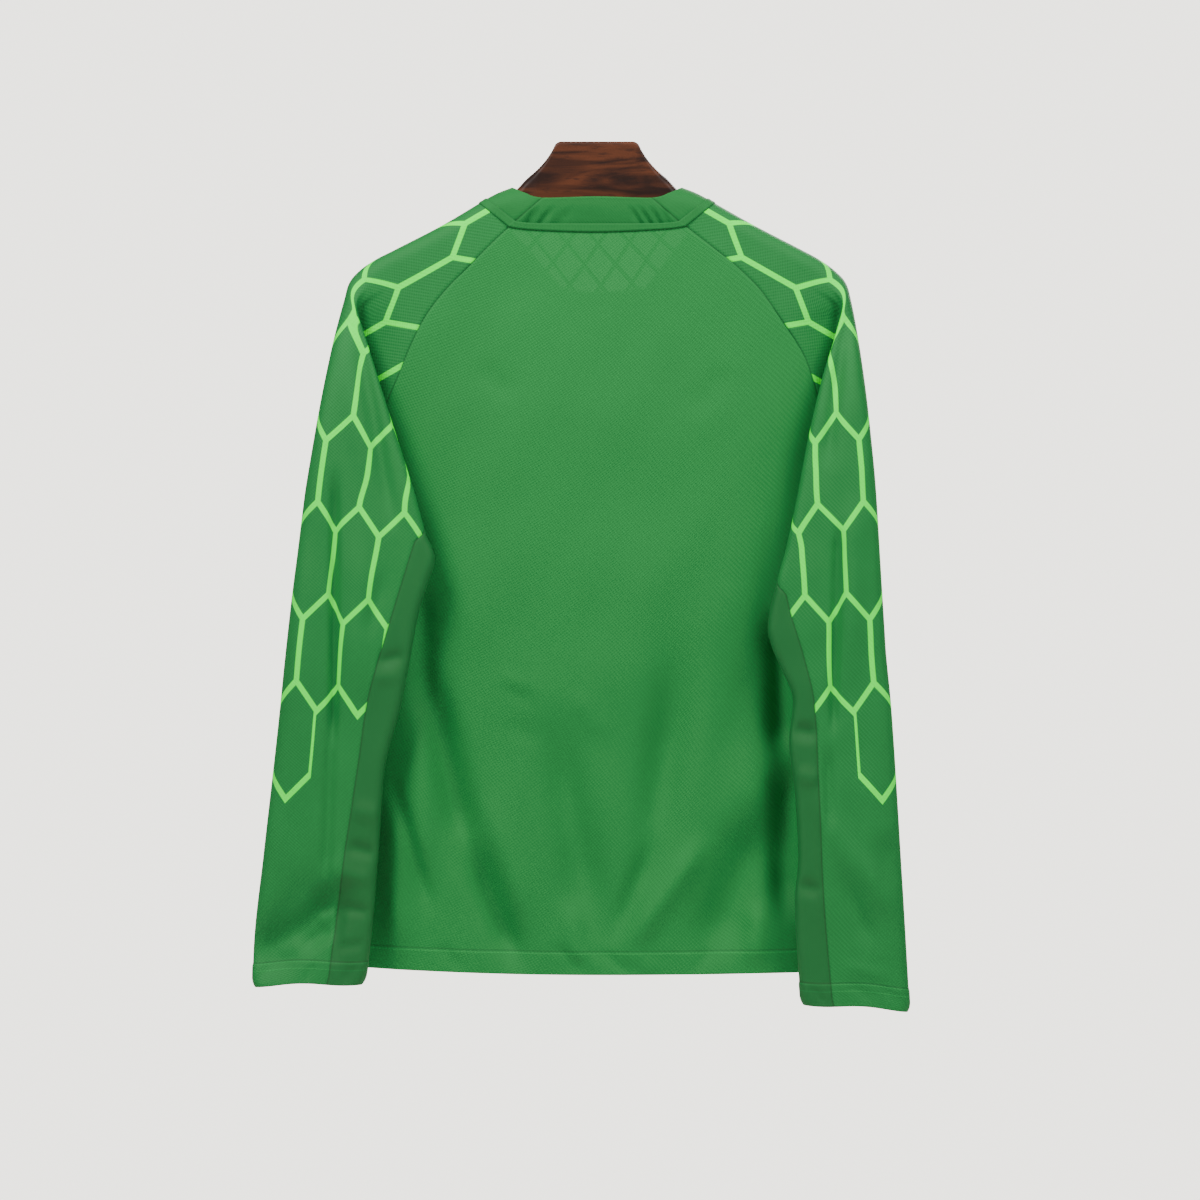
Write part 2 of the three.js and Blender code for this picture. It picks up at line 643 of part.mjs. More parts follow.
const columnOf = (grid, fromRow, toRow, right) =>
  grid.slice(fromRow, toRow).map((row) => row[right ? row.length - 1 : 0]);

// A closed wall on a grid of outer points: its outer side lifted where a hem is doubled, its
// inner side one wall inwards, and its open edges joined.
function wall(rows, normals, thickness, lift, wrap) {
  const height = rows.length;
  const width = rows[0].length;
  const positions = [];
  for (const inner of [false, true]) {
    rows.forEach((row, i) =>
      row.forEach((point, j) => {
        const offset = inner ? -thickness : lift(i);
        const moved = point.clone().addScaledVector(normals[i][j], offset);
        positions.push(moved.x, moved.y, moved.z);
      }),
    );
  }
  const faces = [];
  const at = (i, j, inner) => (inner ? height * width : 0) + i * width + (j % width);
  const quad = (a, b, c, d) => faces.push(a, b, c, a, c, d);
  const spans = wrap ? width : width - 1;
  for (let i = 0; i < height - 1; i += 1) {
    for (let j = 0; j < spans; j += 1) {
      const k = (j + 1) % width;
      const falling = rows[i][j].distanceTo(rows[i + 1][k]) < rows[i + 1][j].distanceTo(rows[i][k]);
      if (falling) {
        quad(at(i, j, false), at(i + 1, j, false), at(i + 1, k, false), at(i, k, false));
        quad(at(i + 1, k, true), at(i + 1, j, true), at(i, j, true), at(i, k, true));
      } else {
        quad(at(i + 1, j, false), at(i + 1, k, false), at(i, k, false), at(i, j, false));
        quad(at(i, k, true), at(i + 1, k, true), at(i + 1, j, true), at(i, j, true));
      }
    }
    if (!wrap) {
      quad(at(i, 0, false), at(i, 0, true), at(i + 1, 0, true), at(i + 1, 0, false));
      const end = width - 1;
      quad(at(i, end, false), at(i + 1, end, false), at(i + 1, end, true), at(i, end, true));
    }
  }
  for (let j = 0; j < spans; j += 1) {
    const foot = height - 1;
    quad(at(0, j, false), at(0, j + 1, false), at(0, j + 1, true), at(0, j, true));
    quad(at(foot, j, false), at(foot, j, true), at(foot, j + 1, true), at(foot, j + 1, false));
  }
  const geometry = new THREE.BufferGeometry();
  geometry.setAttribute("position", new THREE.Float32BufferAttribute(positions, 3));
  geometry.setIndex(faces);
  geometry.computeVertexNormals();
  return geometry;
}

// The topstitched strip round the neck: it lies on the first stretch of every panel below the seam.
function bindingRows(neckRows, nextRows) {
  return [0.5, BINDING_WIDTH].map((distance) =>
    neckRows.map((point, j) => point.clone().add(nextRows[j].clone().sub(point).setLength(distance))),
  );
}

// Collar rows between a stretch of the neck seam and the matching stretch of the collar's top edge.
function collarRows(neck, topPoints) {
  const heights = [1, 0.66, 0.33, 0];
  return heights.map((height) => neck.map((point, j) => point.clone().lerp(topPoints[j], height)));
}

// Points of the collar's top edge between two of its named points, one for each neck point,
// spaced as the neck points are.
function collarTop(neck, curve, from, to) {
  const total = lengthOf(neck);
  let gone = 0;
  return neck.map((point, j) => {
    if (j) gone += point.distanceTo(neck[j - 1]);
    return curve.getPoint(THREE.MathUtils.lerp(from, to, gone / total));
  });
}

// Height of the wood under the shoulder line of the cloth, at a distance out from the middle.
function underCloth(out) {
  const heights = [LEFT, RIGHT].map((side) => {
    const points = side.topCurve.getPoints(400);
    return points.find((point) => point.x >= out).y;
  });
  return Math.min(...heights) - WALL - WOOD_TO_CLOTH;
}

// The hanger: upright oval sections from one arm's tip through the head to the other.
function hangerGeometry() {
  const rows = [
    { out: 0, top: 0, bottom: -72, half: HEAD_HALF_DEPTH, corner: 3 },
    { out: 18, top: 0, bottom: -74, half: HEAD_HALF_DEPTH, corner: 3 },
    { out: 34, top: 0, bottom: -78, half: HEAD_HALF_DEPTH, corner: 3 },
    { out: 38.5, top: -2.2, bottom: -80, half: HEAD_HALF_DEPTH, corner: 3.5 },
    { out: 41, top: -7, bottom: -81, half: HEAD_HALF_DEPTH, corner: 4 },
    { out: 46, top: -15, bottom: -83, half: HEAD_HALF_DEPTH, corner: 5 },
    { out: 55, top: -25.5, bottom: -87, half: HEAD_HALF_DEPTH, corner: 6 },
    { out: 66, top: -35, bottom: -92, half: HEAD_HALF_DEPTH - 2, corner: 8 },
    { out: 73, top: -42.5, bottom: -95, half: HEAD_HALF_DEPTH - 2, corner: 9 },
    { out: 82, top: -51.5, bottom: -99, half: HEAD_HALF_DEPTH - 1, corner: 9 },
    { out: 101, top: -60, bottom: -106, half: HEAD_HALF_DEPTH, corner: 10 },
    { out: 144, top: underCloth(144), bottom: -122, half: ARM_HALF_DEPTH, corner: 12 },
    { out: 187, top: underCloth(187), bottom: -137, half: ARM_HALF_DEPTH - 1, corner: 11 },
    { out: 206, top: underCloth(206) - 1, bottom: -141, half: ARM_HALF_DEPTH - 2, corner: 10 },
    { out: 215, top: underCloth(215) - 3, bottom: -140, half: ARM_HALF_DEPTH - 4, corner: 9 },
    { out: ARM_TIP_OUT, top: underCloth(ARM_TIP_OUT) - 6, bottom: -136, half: 5, corner: 4 },
  ];
  const arcs = 3;
  const section = (row, sign) => {
    const points = [];
    const height = (row.top - row.bottom) / 2;
    const round = Math.min(row.corner, height - 0.2, row.half - 0.2);
    for (let turn = 0; turn < 4; turn += 1) {
      for (let n = 0; n <= arcs; n += 1) {
        const angle = (Math.PI / 2) * (turn + n / arcs);
        const sideY = turn === 0 || turn === 3 ? 1 : -1;
        const sideZ = turn < 2 ? 1 : -1;
        const y = sideY * (row.half - round) + round * Math.cos(angle);
        const z = sideZ * (height - round) + round * Math.sin(angle);
        points.push(new THREE.Vector3(sign * row.out, y, (row.top + row.bottom) / 2 + z));
      }
    }
    return points;
  };
  const sections = [
    ...rows.slice(1).reverse().map((row) => section(row, -1)),
    ...rows.map((row) => section(row, 1)),
  ];
  const positions = [];
  const faces = [];
  const count = sections[0].length;
  sections.forEach((points) => points.forEach((p) => positions.push(p.x, p.y, p.z)));
  for (let i = 0; i < sections.length - 1; i += 1) {
    for (let j = 0; j < count; j += 1) {
      const next = (j + 1) % count;
      const a = i * count + j;
      const b = i * count + next;
      faces.push(a, b, b + count, a, b + count, a + count);
    }
  }
  for (const [first, turned] of [[0, true], [(sections.length - 1) * count, false]]) {
    for (let j = 1; j < count - 1; j += 1) {
      if (turned) faces.push(first, first + j + 1, first + j);
      else faces.push(first, first + j, first + j + 1);
    }
  }
  const geometry = new THREE.BufferGeometry();
  geometry.setAttribute("position", new THREE.Float32BufferAttribute(positions, 3));
  geometry.setIndex(faces);
  geometry.computeVertexNormals();
  return geometry;
}

// Materials
const bodyKnit = new THREE.MeshStandardMaterial({ color: 0x3f8e4e, roughness: 0.8, metalness: 0 });
const sleeveKnit = new THREE.MeshStandardMaterial({ color: 0x3b8449, roughness: 0.8, metalness: 0 });
const underarmKnit = new THREE.MeshStandardMaterial({ color: 0x286c36, roughness: 0.75, metalness: 0 });
const collarKnit = new THREE.MeshStandardMaterial({ color: 0x3b8046, roughness: 0.85, metalness: 0 });
const walnut = new THREE.MeshStandardMaterial({ color: 0x5d3a33, roughness: 0.45, metalness: 0 });

const jersey = new THREE.Group();

function addPiece(name, geometry, material) {
  const piece = new THREE.Mesh(geometry, material);
  piece.name = name;
  jersey.add(piece);
}

for (const side of [LEFT, RIGHT]) {
  side.backCurve = seamCurve(side.backSeam);
  side.topCurve = seamCurve(side.topLine);
  side.frontCurve = seamCurve(FRONT_SEAM);
}

const rowsOf = {
  back: bodyRows(-1, BACK_COLUMNS, BACK_FOLDS),
  front: bodyRows(1, FRONT_COLUMNS, FRONT_FOLDS),
};
for (const side of [LEFT, RIGHT]) {
  const { sleeve, panel } = sleeveRows(side);
  rowsOf[side.sleeveKey] = onSide(sleeve, side);
  rowsOf[side.panelKey] = onSide(panel, side);
}

// The neck seam runs counterclockwise: back, right sleeve, front, left sleeve
const around = [rowsOf.back, rowsOf.rightSleeve, rowsOf.front, rowsOf.leftSleeve];
const ring = (index) => around.flatMap((rows) => rows[index].slice(0, -1).map((p) => p.clone()));
const neckOf = (rows) => rows[0].map((p) => p.clone());
const strip = bindingRows(ring(0), ring(1));

// Collar: the back piece lies between two slanting seams, and the front piece goes round the rest
const halfTop = COLLAR_TOP.map((p) => new THREE.Vector3(p.x, p.y, p.z));
const mirrored = (points) => points.map((p) => new THREE.Vector3(-p.x, p.y, p.z)).reverse();
const lastTop = COLLAR_TOP.length - 1;
const backHalf = halfTop.slice(0, COLLAR_SEAM + 2);
const backEdge = new THREE.CatmullRomCurve3([...mirrored(backHalf), ...backHalf.slice(1)]);
const backSpans = 2 * (COLLAR_SEAM + 1);
const frontEdge = new THREE.CatmullRomCurve3([...halfTop, ...mirrored(halfTop).slice(1)]);
const knot = (index) => index / (2 * lastTop);
const opposite = (index) => 2 * lastTop - index;

// Top points over a sleeve's stretch of the neck seam, split where the seam is furthest out.
function sleeveTop(row, from, side, to) {
  const peak = row.reduce((best, p, j) => (Math.abs(p.x) > Math.abs(row[best].x) ? j : best), 0);
  return [
    ...collarTop(row.slice(0, peak + 1), frontEdge, knot(from), knot(side)),
    ...collarTop(row.slice(peak), frontEdge, knot(side), knot(to)).slice(1),
  ];
}

const neckBack = neckOf(rowsOf.back);
const [neckRight, neckFront, neckLeft] = [rowsOf.rightSleeve, rowsOf.front, rowsOf.leftSleeve].map(neckOf);
const neckRest = [...neckRight, ...neckFront.slice(1), ...neckLeft.slice(1)];
const topRest = [
  ...sleeveTop(neckRight, COLLAR_SEAM, COLLAR_SIDE, COLLAR_FRONT_SEAM),
  ...collarTop(neckFront, frontEdge, knot(COLLAR_FRONT_SEAM), knot(opposite(COLLAR_FRONT_SEAM))).slice(1),
  ...sleeveTop(neckLeft, opposite(COLLAR_FRONT_SEAM), opposite(COLLAR_SIDE), opposite(COLLAR_SEAM)).slice(1),
];
rowsOf.collarBack = collarRows(neckBack, collarTop(neckBack, backEdge, 1 / backSpans, 1 - 1 / backSpans));
rowsOf.collarFront = collarRows(neckRest, topRest);

// Outward directions of every grid, made equal along the seams
const normalsOf = {};
for (const [key, rows] of Object.entries(rowsOf)) normalsOf[key] = gridNormals(rows, false);
const shoulderRows = SHOULDER_SHARES.length;
const last = (list) => list[list.length - 1];
const seams = [
  ["back", "rightSleeve", "front", "rightPanel"],
  ["front", "leftSleeve", "back", "leftPanel"],
];
for (const [before, sleeve, after, panel] of seams) {
  const rowCount = normalsOf[sleeve].length;
  matchSeam(
    columnOf(normalsOf[before], 0, shoulderRows, true),
    columnOf(normalsOf[sleeve], 0, shoulderRows, false),
  );
  matchSeam(
    columnOf(normalsOf[after], 0, shoulderRows, false),
    columnOf(normalsOf[sleeve], 0, shoulderRows, true),
  );
  matchSeam(
    columnOf(normalsOf[before], shoulderRows, normalsOf[before].length, true),
    columnOf(normalsOf[after], shoulderRows, normalsOf[after].length, false),
  );
  matchSeam(
    columnOf(normalsOf[sleeve], shoulderRows, rowCount, false),
    columnOf(normalsOf[panel], 0, rowCount, true),
  );
  matchSeam(
    columnOf(normalsOf[sleeve], shoulderRows, rowCount, true),
    columnOf(normalsOf[panel], 0, rowCount, false),
  );
}
matchSeam(normalsOf.back[0], last(normalsOf.collarBack));
const neckNormals = [normalsOf.rightSleeve, normalsOf.front, normalsOf.leftSleeve].map((grid) => grid[0]);
matchSeam(
  [...neckNormals[0], ...neckNormals[1].slice(1), ...neckNormals[2].slice(1)],
  last(normalsOf.collarFront),
);
matchSeam(columnOf(normalsOf.collarBack, 0, 4, true), columnOf(normalsOf.collarFront, 0, 4, false));
matchSeam(columnOf(normalsOf.collarBack, 0, 4, false), columnOf(normalsOf.collarFront, 0, 4, true));

addPiece("hanger", hangerGeometry(), walnut);
const panelEdges = { top: true, sides: true, underarmRow: shoulderRows - 1 };
const sleeveEdges = { top: true, sides: true };
const collarEdges = { bottom: true, sides: true };
const clothPieces = [
  { name: "back_panel", key: "back", edges: panelEdges, hem: true, material: bodyKnit },
  { name: "front_panel", key: "front", edges: panelEdges, hem: true, material: bodyKnit },
  { name: "sleeve_left", key: "leftSleeve", edges: sleeveEdges, hem: true, material: sleeveKnit },
  { name: "sleeve_right", key: "rightSleeve", edges: sleeveEdges, hem: true, material: sleeveKnit },
  { name: "underarm_left", key: "leftPanel", edges: { sides: true }, hem: true, material: underarmKnit },
  { name: "underarm_right", key: "rightPanel", edges: { sides: true }, hem: true, material: underarmKnit },
  { name: "collar_back", key: "collarBack", edges: collarEdges, hem: false, material: collarKnit },
  { name: "collar_front", key: "collarFront", edges: collarEdges, hem: false, material: collarKnit },
];
for (const { name, key, edges, hem, material } of clothPieces) {
  const rows = drawBack(rowsOf[key], edges);
  const thickness = hem ? WALL : COLLAR_WALL;
  const hemStart = hem ? rows.length - 2 : rows.length;
  const lift = (i) => (i >= hemStart ? HEM_STEP : 0);
  addPiece(name, wall(rows, normalsOf[key], thickness, lift, false), material);
}

// The strip lies just off the panels, so its outer points are the panels' points moved out
const stripNormals = gridNormals(strip, true);
const raised = strip.map((row, i) =>
  row.map((p, j) => p.clone().addScaledVector(stripNormals[i][j], BINDING_GAP + BINDING_WALL)),
);
addPiece("neck_binding", wall(raised, stripNormals, BINDING_WALL, () => 0, true), collarKnit);

export default jersey;
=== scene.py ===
import bpy
import numpy as np
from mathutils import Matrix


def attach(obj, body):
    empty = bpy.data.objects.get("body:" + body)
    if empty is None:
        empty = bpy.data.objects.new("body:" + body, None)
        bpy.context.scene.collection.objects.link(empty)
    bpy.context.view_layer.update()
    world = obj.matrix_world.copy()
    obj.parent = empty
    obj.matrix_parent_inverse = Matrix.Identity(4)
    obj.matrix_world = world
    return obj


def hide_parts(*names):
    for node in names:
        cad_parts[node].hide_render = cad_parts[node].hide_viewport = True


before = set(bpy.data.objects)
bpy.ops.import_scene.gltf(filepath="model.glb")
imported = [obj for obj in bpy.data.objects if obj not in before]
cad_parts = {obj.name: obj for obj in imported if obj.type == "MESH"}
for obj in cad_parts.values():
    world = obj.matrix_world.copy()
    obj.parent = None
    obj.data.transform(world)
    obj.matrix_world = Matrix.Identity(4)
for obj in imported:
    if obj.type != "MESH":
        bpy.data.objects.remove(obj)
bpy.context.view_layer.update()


# Hanger
# One piece of dark stained walnut, shaped, rounded and varnished: a flat-topped head above the
# collar, and arms that slope down inside the shoulders and carry the whole jersey.
def columns(names, rows):
    """A table as one array for each named column."""
    return dict(zip(names.split(), np.array(rows, dtype=float).T))


def read(table, column, at, key="up"):
    """Values at any heights: between two rows a cubic whose slope at a row is the harmonic mean of
    the slopes on both sides of it, and zero where the column turns back."""
    order = np.argsort(table[key])
    x = table[key][order]
    y = table[column][order]
    slope = np.diff(y) / np.diff(x)
    product = slope[:-1] * slope[1:]
    total = np.where(product > 0, slope[:-1] + slope[1:], 1)
    tangent = np.concatenate([slope[:1], np.where(product > 0, 2 * product / total, 0), slope[-1:]])
    at = np.clip(at, x[0], x[-1])
    k = np.clip(np.searchsorted(x, at, side="right") - 1, 0, len(x) - 2)
    span = x[k + 1] - x[k]
    s = (at - x[k]) / span
    ends = y[k] * (1 + 2 * s) * (1 - s) ** 2 + y[k + 1] * s**2 * (3 - 2 * s)
    return ends + span * (tangent[k] * s * (1 - s) ** 2 + tangent[k + 1] * s**2 * (s - 1))


def mix(one, other, share):
    """One at a share of 0 and the other at 1, and straight between them."""
    return one + (other - one) * share


WOOD = columns("out top bottom half round", [
    (0, 0, -72, 12, 3),
    (18, 0, -74, 12, 3),
    (34, 0, -78, 12, 3),
    (38.5, -2.2, -80, 12, 3.5),
    (41, -7, -81, 12, 4),
    (46, -15, -83, 12, 5),
    (55, -25.5, -87, 12, 6),
    (66, -35, -92, 10, 8),
    (73, -42.5, -95, 10, 9),
    (82, -51.5, -99, 11, 9),
    (101, -60, -106, 12, 10),
    (144, -79.9, -122, 14, 12),
    (187, -102.2, -137, 13, 11),
    (206, -113, -141, 12, 10),
    (215, -120, -140, 10, 9),
    (219, -126, -136, 5, 4),
])
top_steps = np.hypot(np.diff(WOOD["out"]), np.diff(WOOD["top"]))
WOOD["length"] = np.concatenate([[0], np.cumsum(top_steps)])


def hanger_rings():
    """Rings across the wood at even distances along its top edge, from one arm over the head to
    the other: each is a rectangle whose four corners are quarter circles."""
    places = np.linspace(0, WOOD["length"][-1], 120)
    arm = {name: read(WOOD, name, places, "length") for name in WOOD if name != "length"}
    both = {name: np.concatenate([values[::-1], values[1:]])[:, None] for name, values in arm.items()}
    out = np.concatenate([-arm["out"][::-1], arm["out"][1:]])[:, None]
    tall = (both["top"] - both["bottom"]) / 2
    centre = (both["top"] + both["bottom"]) / 2
    radius = np.minimum(both["round"], np.minimum(tall, both["half"]) - 0.2)
    arcs = []
    for quarter, (out_y, out_z) in enumerate(((1, 1), (-1, 1), (-1, -1), (1, -1))):
        turn = (quarter + np.linspace(0, 1, 8)[None]) * np.pi / 2
        y = out_y * (both["half"] - radius) + radius * np.cos(turn)
        z = centre + out_z * (tall - radius) + radius * np.sin(turn)
        arcs.append(np.stack([np.repeat(out, 8, axis=1), y, z], -1))
    flat = np.array([0.03, 0.15, 0.38, 0.62, 0.85, 0.97])[:, None]
    sides = [mix(arc[:, -1:], after[:, :1], flat) for arc, after in zip(arcs, arcs[1:] + arcs[:1])]
    return np.concatenate([part for pair in zip(arcs, sides) for part in pair], axis=1)


def ring_faces(rings):
    """Faces between neighbouring rings, and one face over each end."""
    index = np.arange(rings.shape[0] * rings.shape[1]).reshape(rings.shape[:2])
    beside = np.roll(index, -1, axis=1)
    sides = np.stack([index[:-1], beside[:-1], beside[1:], index[1:]], -1).reshape(-1, 4)
    return [*sides.tolist(), index[0, ::-1].tolist(), index[-1].tolist()]


def feed(tree, value, socket):
    """Gives a socket a number, a colour or another node's output."""
    if isinstance(value, bpy.types.NodeSocket):
        tree.links.new(value, socket)
    elif isinstance(value, tuple):
        socket.default_value = (*value, 1)
    else:
        socket.default_value = value


def calc(tree, operation, *values, clamp=False):
    """A Math node fed with the values."""
    made = tree.nodes.new("ShaderNodeMath")
    made.operation = operation
    made.use_clamp = clamp
    for socket, value in zip(made.inputs, values):
        feed(tree, value, socket)
    return made.outputs[0]


def rise(tree, low, high, value):
    """A smooth step from 0 at low to 1 at high."""
    made = tree.nodes.new("ShaderNodeMapRange")
    made.interpolation_type = "SMOOTHSTEP"
    made.inputs["From Min"].default_value = low
    made.inputs["From Max"].default_value = high
    tree.links.new(value, made.inputs["Value"])
    return made.outputs["Result"]


def blend(tree, share, one, other):
    """A colour between two, by a share from 0 to 1."""
    made = tree.nodes.new("ShaderNodeMix")
    made.data_type = "RGBA"
    for label, value in (("Factor", share), ("A", one), ("B", other)):
        feed(tree, value, made.inputs[label])
    return made.outputs["Result"]


def noise(tree, where, scale, detail, distortion=0.0):
    """Smooth noise from 0 to 1 at a place."""
    made = tree.nodes.new("ShaderNodeTexNoise")
    made.inputs["Scale"].default_value = scale
    made.inputs["Detail"].default_value = detail
    made.inputs["Distortion"].default_value = distortion
    tree.links.new(where, made.inputs["Vector"])
    return made.outputs["Fac"]


def new_material(name):
    """A material with nodes, its tree and its shader."""
    material = bpy.data.materials.new(name)
    material.use_nodes = True
    return material, material.node_tree, material.node_tree.nodes["Principled BSDF"]


walnut, tree, shader = new_material("walnut")
stretch = tree.nodes.new("ShaderNodeMapping")
stretch.inputs["Scale"].default_value = (9, 40, 62)
stretch.inputs["Rotation"].default_value = (0, 0.16, 0)
tree.links.new(tree.nodes.new("ShaderNodeTexCoord").outputs["Object"], stretch.inputs["Vector"])
grain = rise(tree, 0.36, 0.62, noise(tree, stretch.outputs["Vector"], 1, 7, 0.9))
pores = rise(tree, 0.56, 0.7, noise(tree, stretch.outputs["Vector"], 7, 3))
brown = blend(tree, grain, (0.014, 0.0038, 0.0015), (0.078, 0.021, 0.0066))
brown = blend(tree, calc(tree, "MULTIPLY", pores, 0.5), brown, (0.01, 0.004, 0.003))
tree.links.new(brown, shader.inputs["Base Color"])
shader.inputs["Roughness"].default_value = 0.55
shader.inputs["Specular IOR Level"].default_value = 0.22

rings = hanger_rings()
wood_mesh = bpy.data.meshes.new("hanger_wood")
wood_mesh.from_pydata((rings.reshape(-1, 3) / 1000).tolist(), [], ring_faces(rings))
wood_mesh.materials.append(walnut)
wood_mesh.shade_smooth()
wood_mesh.set_sharp_from_angle(angle=0.9)
hanger = bpy.data.objects.new("hanger_wood", wood_mesh)
bpy.context.collection.objects.link(hanger)
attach(hanger, "root")
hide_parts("hanger")


# Back panel
# One piece of matt polyester knit, sewn along curved raglan seams and turned up in a 20 mm hem. It
# hangs level from the shoulders, and long soft folds fan out below the waist, none alike.
def smooth(low, high, value):
    """0 below low and 1 above high, with an S-shaped rise between them."""
    share = np.clip((value - low) / (high - low), 0, 1)
    return share * share * (3 - 2 * share)


def spline(knots, places):
    """Points on a curve through the knots, at places counted in knots: a cubic between two knots
    whose slope at each is half the step between its neighbours."""
    last = len(knots) - 1
    k = np.clip(places.astype(int), 0, last - 1)
    w = (places - k)[:, None]
    before, here = knots[np.maximum(k - 1, 0)], knots[k]
    there, after = knots[k + 1], knots[np.minimum(k + 2, last)]
    start, end = (there - before) / 2, (after - here) / 2
    bend = (2 * here - 2 * there + start + end) * w**3
    return bend + (-3 * here + 3 * there - 2 * start - end) * w**2 + start * w + here


def seam_points(seam, shares):
    """Points at shares of a seam's length; a seam is a table with columns out and up."""
    knots = np.stack([seam["out"], seam["up"]], -1)
    points = spline(knots, np.linspace(0, len(knots) - 1, 900))
    length = np.concatenate([[0], np.cumsum(np.linalg.norm(np.diff(points, axis=0), axis=1))])
    at = shares * length[-1]
    return np.interp(at, length, points[:, 0]), np.interp(at, length, points[:, 1])


# A surface is a grid of points. Its rows run counterclockwise seen from above, and follow each
# other from the neck down.
def lengths(rows):
    """Distance along each row at each of its points."""
    steps = np.linalg.norm(np.diff(rows, axis=1), axis=2)
    return np.concatenate([np.zeros((len(rows), 1)), np.cumsum(steps, axis=1)], axis=1)


def along_rows(values, count):
    """One value for each row, repeated along it."""
    return np.repeat(values[:, None], count, axis=1)


def spaced(rows, places):
    """Points of each row at the given distances along it, straight between its points."""
    length = lengths(rows)
    k = (length[:, None, :] <= places[:, :, None]).sum(-1) - 1
    k = np.clip(k, 0, rows.shape[1] - 2)
    start = np.take_along_axis(length, k, 1)
    step = np.take_along_axis(length, k + 1, 1) - start
    share = (places - start) / np.maximum(step, 1e-9)
    one = np.take_along_axis(rows, k[..., None], 1)
    other = np.take_along_axis(rows, k[..., None] + 1, 1)
    return mix(one, other, np.clip(share, 0, 1)[..., None])


def between_seams(start, end, count):
    """Distances from start to end of each row, even but for four close ones at either seam."""
    near = np.array([0, 0.5, 1.2, 2.4])
    width = (end - start)[:, None]
    close = near[None] * np.minimum(1, width / 12)
    margin = close[:, -1:]
    even = margin + (width - 2 * margin) * np.linspace(0, 1, count - 6)[None, 1:-1]
    return start[:, None] + np.concatenate([close, even, width - close[:, ::-1]], axis=1)


def outward(rows):
    """Unit directions out of the cloth: the step down a column crossed with the step along a row."""
    normal = np.cross(np.gradient(rows, axis=0), np.gradient(rows, axis=1))
    return normal / np.maximum(np.linalg.norm(normal, axis=2, keepdims=True), 1e-9)


FOLD = "x0 z0 x1 z1 width deep fade"


def creases(table, across, up):
    """Depth of soft folds: a bell across each fold's line, faded in and out at its two ends."""
    depth = np.zeros(np.broadcast(across, up).shape)
    for x0, z0, x1, z1, width, deep, fade in zip(*table.values()):
        length = np.hypot(x1 - x0, z1 - z0)
        dx, dz = (x1 - x0) / length, (z1 - z0) / length
        along = ((across - x0) * dx + (up - z0) * dz) / length
        aside = ((across - x0) * dz - (up - z0) * dx) / width
        ends = smooth(0, fade, along) * smooth(0, fade, 1 - along)
        depth = depth + deep * ends * np.exp(-aside * aside)
    return depth


def ripple(across, up, seed, size=70, height=0.5):
    """Gentle uneven waves: four sines in different directions, lengths and phases."""
    random = np.random.default_rng(seed)
    total = np.zeros(np.broadcast(across, up).shape)
    for _ in range(4):
        turn = random.uniform(0, np.pi)
        wave = size * random.uniform(0.7, 1.8)
        phase = (across * np.cos(turn) + up * np.sin(turn)) * 2 * np.pi / wave
        total = total + np.sin(phase + random.uniform(0, 6.3))
    return total * height / 2


# The two body panels hang as a flat oval tube, a little wider at the hem, which rises by 7 mm
# and 3 mm towards its two sides.
UNDERARM = -306.0
HEM = -777.0
BODY = columns("up depth width", [
    (-50, 20, 420),
    (-127, 22, 400),
    (-200, 26, 265),
    (-260, 29, 232),
    (-306, 30, 221),
    (-450, 31, 226),
    (-600, 30, 232),
    (-777, 28, 243),
])
NECK_HALF, NECK_UP = 103.0, -53.0
HEM_RISE = (7, 3)
SHARES = np.concatenate(
    [np.linspace(0, 0.34, 40)[:-1], np.linspace(0.34, 0.6, 44)[:-1], np.linspace(0.6, 1, 46)]
)


def body_depth(x, up):
    """Half depth of the oval body: full in the middle and nothing at its side seams."""
    across = np.minimum(1, np.abs(x) / read(BODY, "width", up))
    return read(BODY, "depth", up) * np.sqrt(np.clip(1 - across**3, 0, 1))


def body_panel(face, seams, neck, count, folds, seed):
    """Rows of a body panel and their distances from the hem: from the neck down between the raglan
    seams, and then down the side seams, with folds pressed in and gentle waves all over. The
    neckline is lowest in the middle and rises as a power of the distance from it."""
    n = np.linspace(0, 1, 420)[None]
    (left, left_up), (right, right_up) = [seam_points(seam, SHARES) for seam in seams]
    x = mix(-left[:, None], right[:, None], n)
    up = mix(left_up[:, None], right_up[:, None], n)
    first = mix(seams[0]["out"][0], seams[1]["out"][0], n)
    lowest, height_at_side, power = neck

    def neckline(place):
        return lowest + height_at_side * (np.abs(place) / NECK_HALF) ** power

    dip = neckline(mix(-first, first, n)) - neckline(first)
    up = up + dip * (1 - SHARES[:, None]) ** 1.6
    drop = UNDERARM - HEM
    above_hem = np.array([22, 20, 18, 14, 9, 5, 2.4, 1.1, 0.5, 0.2, 0.02])
    heights = np.concatenate([np.linspace(0, drop - 24, 116)[1:], drop - above_hem])
    skirt_up = along_rows(UNDERARM - heights, n.shape[1])
    turn = np.pi * (n - 0.5)
    skirt_x = read(BODY, "width", skirt_up) * np.sign(turn) * np.abs(np.sin(turn)) ** (2 / 3)
    x, up = np.concatenate([x, skirt_x]), np.concatenate([up, skirt_up])
    depth = body_depth(x, up)
    fade = depth / read(BODY, "depth", up)
    settled = smooth(-90, -180, up) * fade
    depth = depth - creases(folds, x, up) * fade + ripple(x, up, seed) * settled
    hem_rise = (x / 220) ** 2 * np.where(x < 0, *HEM_RISE)
    below = np.clip((UNDERARM - up) / drop, 0, 1)
    rows = np.stack([x, face * depth, up + below**2 * hem_rise], -1)
    if face > 0:
        rows = rows[:, ::-1]
    total = lengths(rows)[:, -1]
    rows = spaced(rows, between_seams(np.zeros(len(rows)), total, count))
    hem = np.concatenate([drop + 200 * (1 - SHARES), drop - heights])
    return rows, along_rows(hem, count)


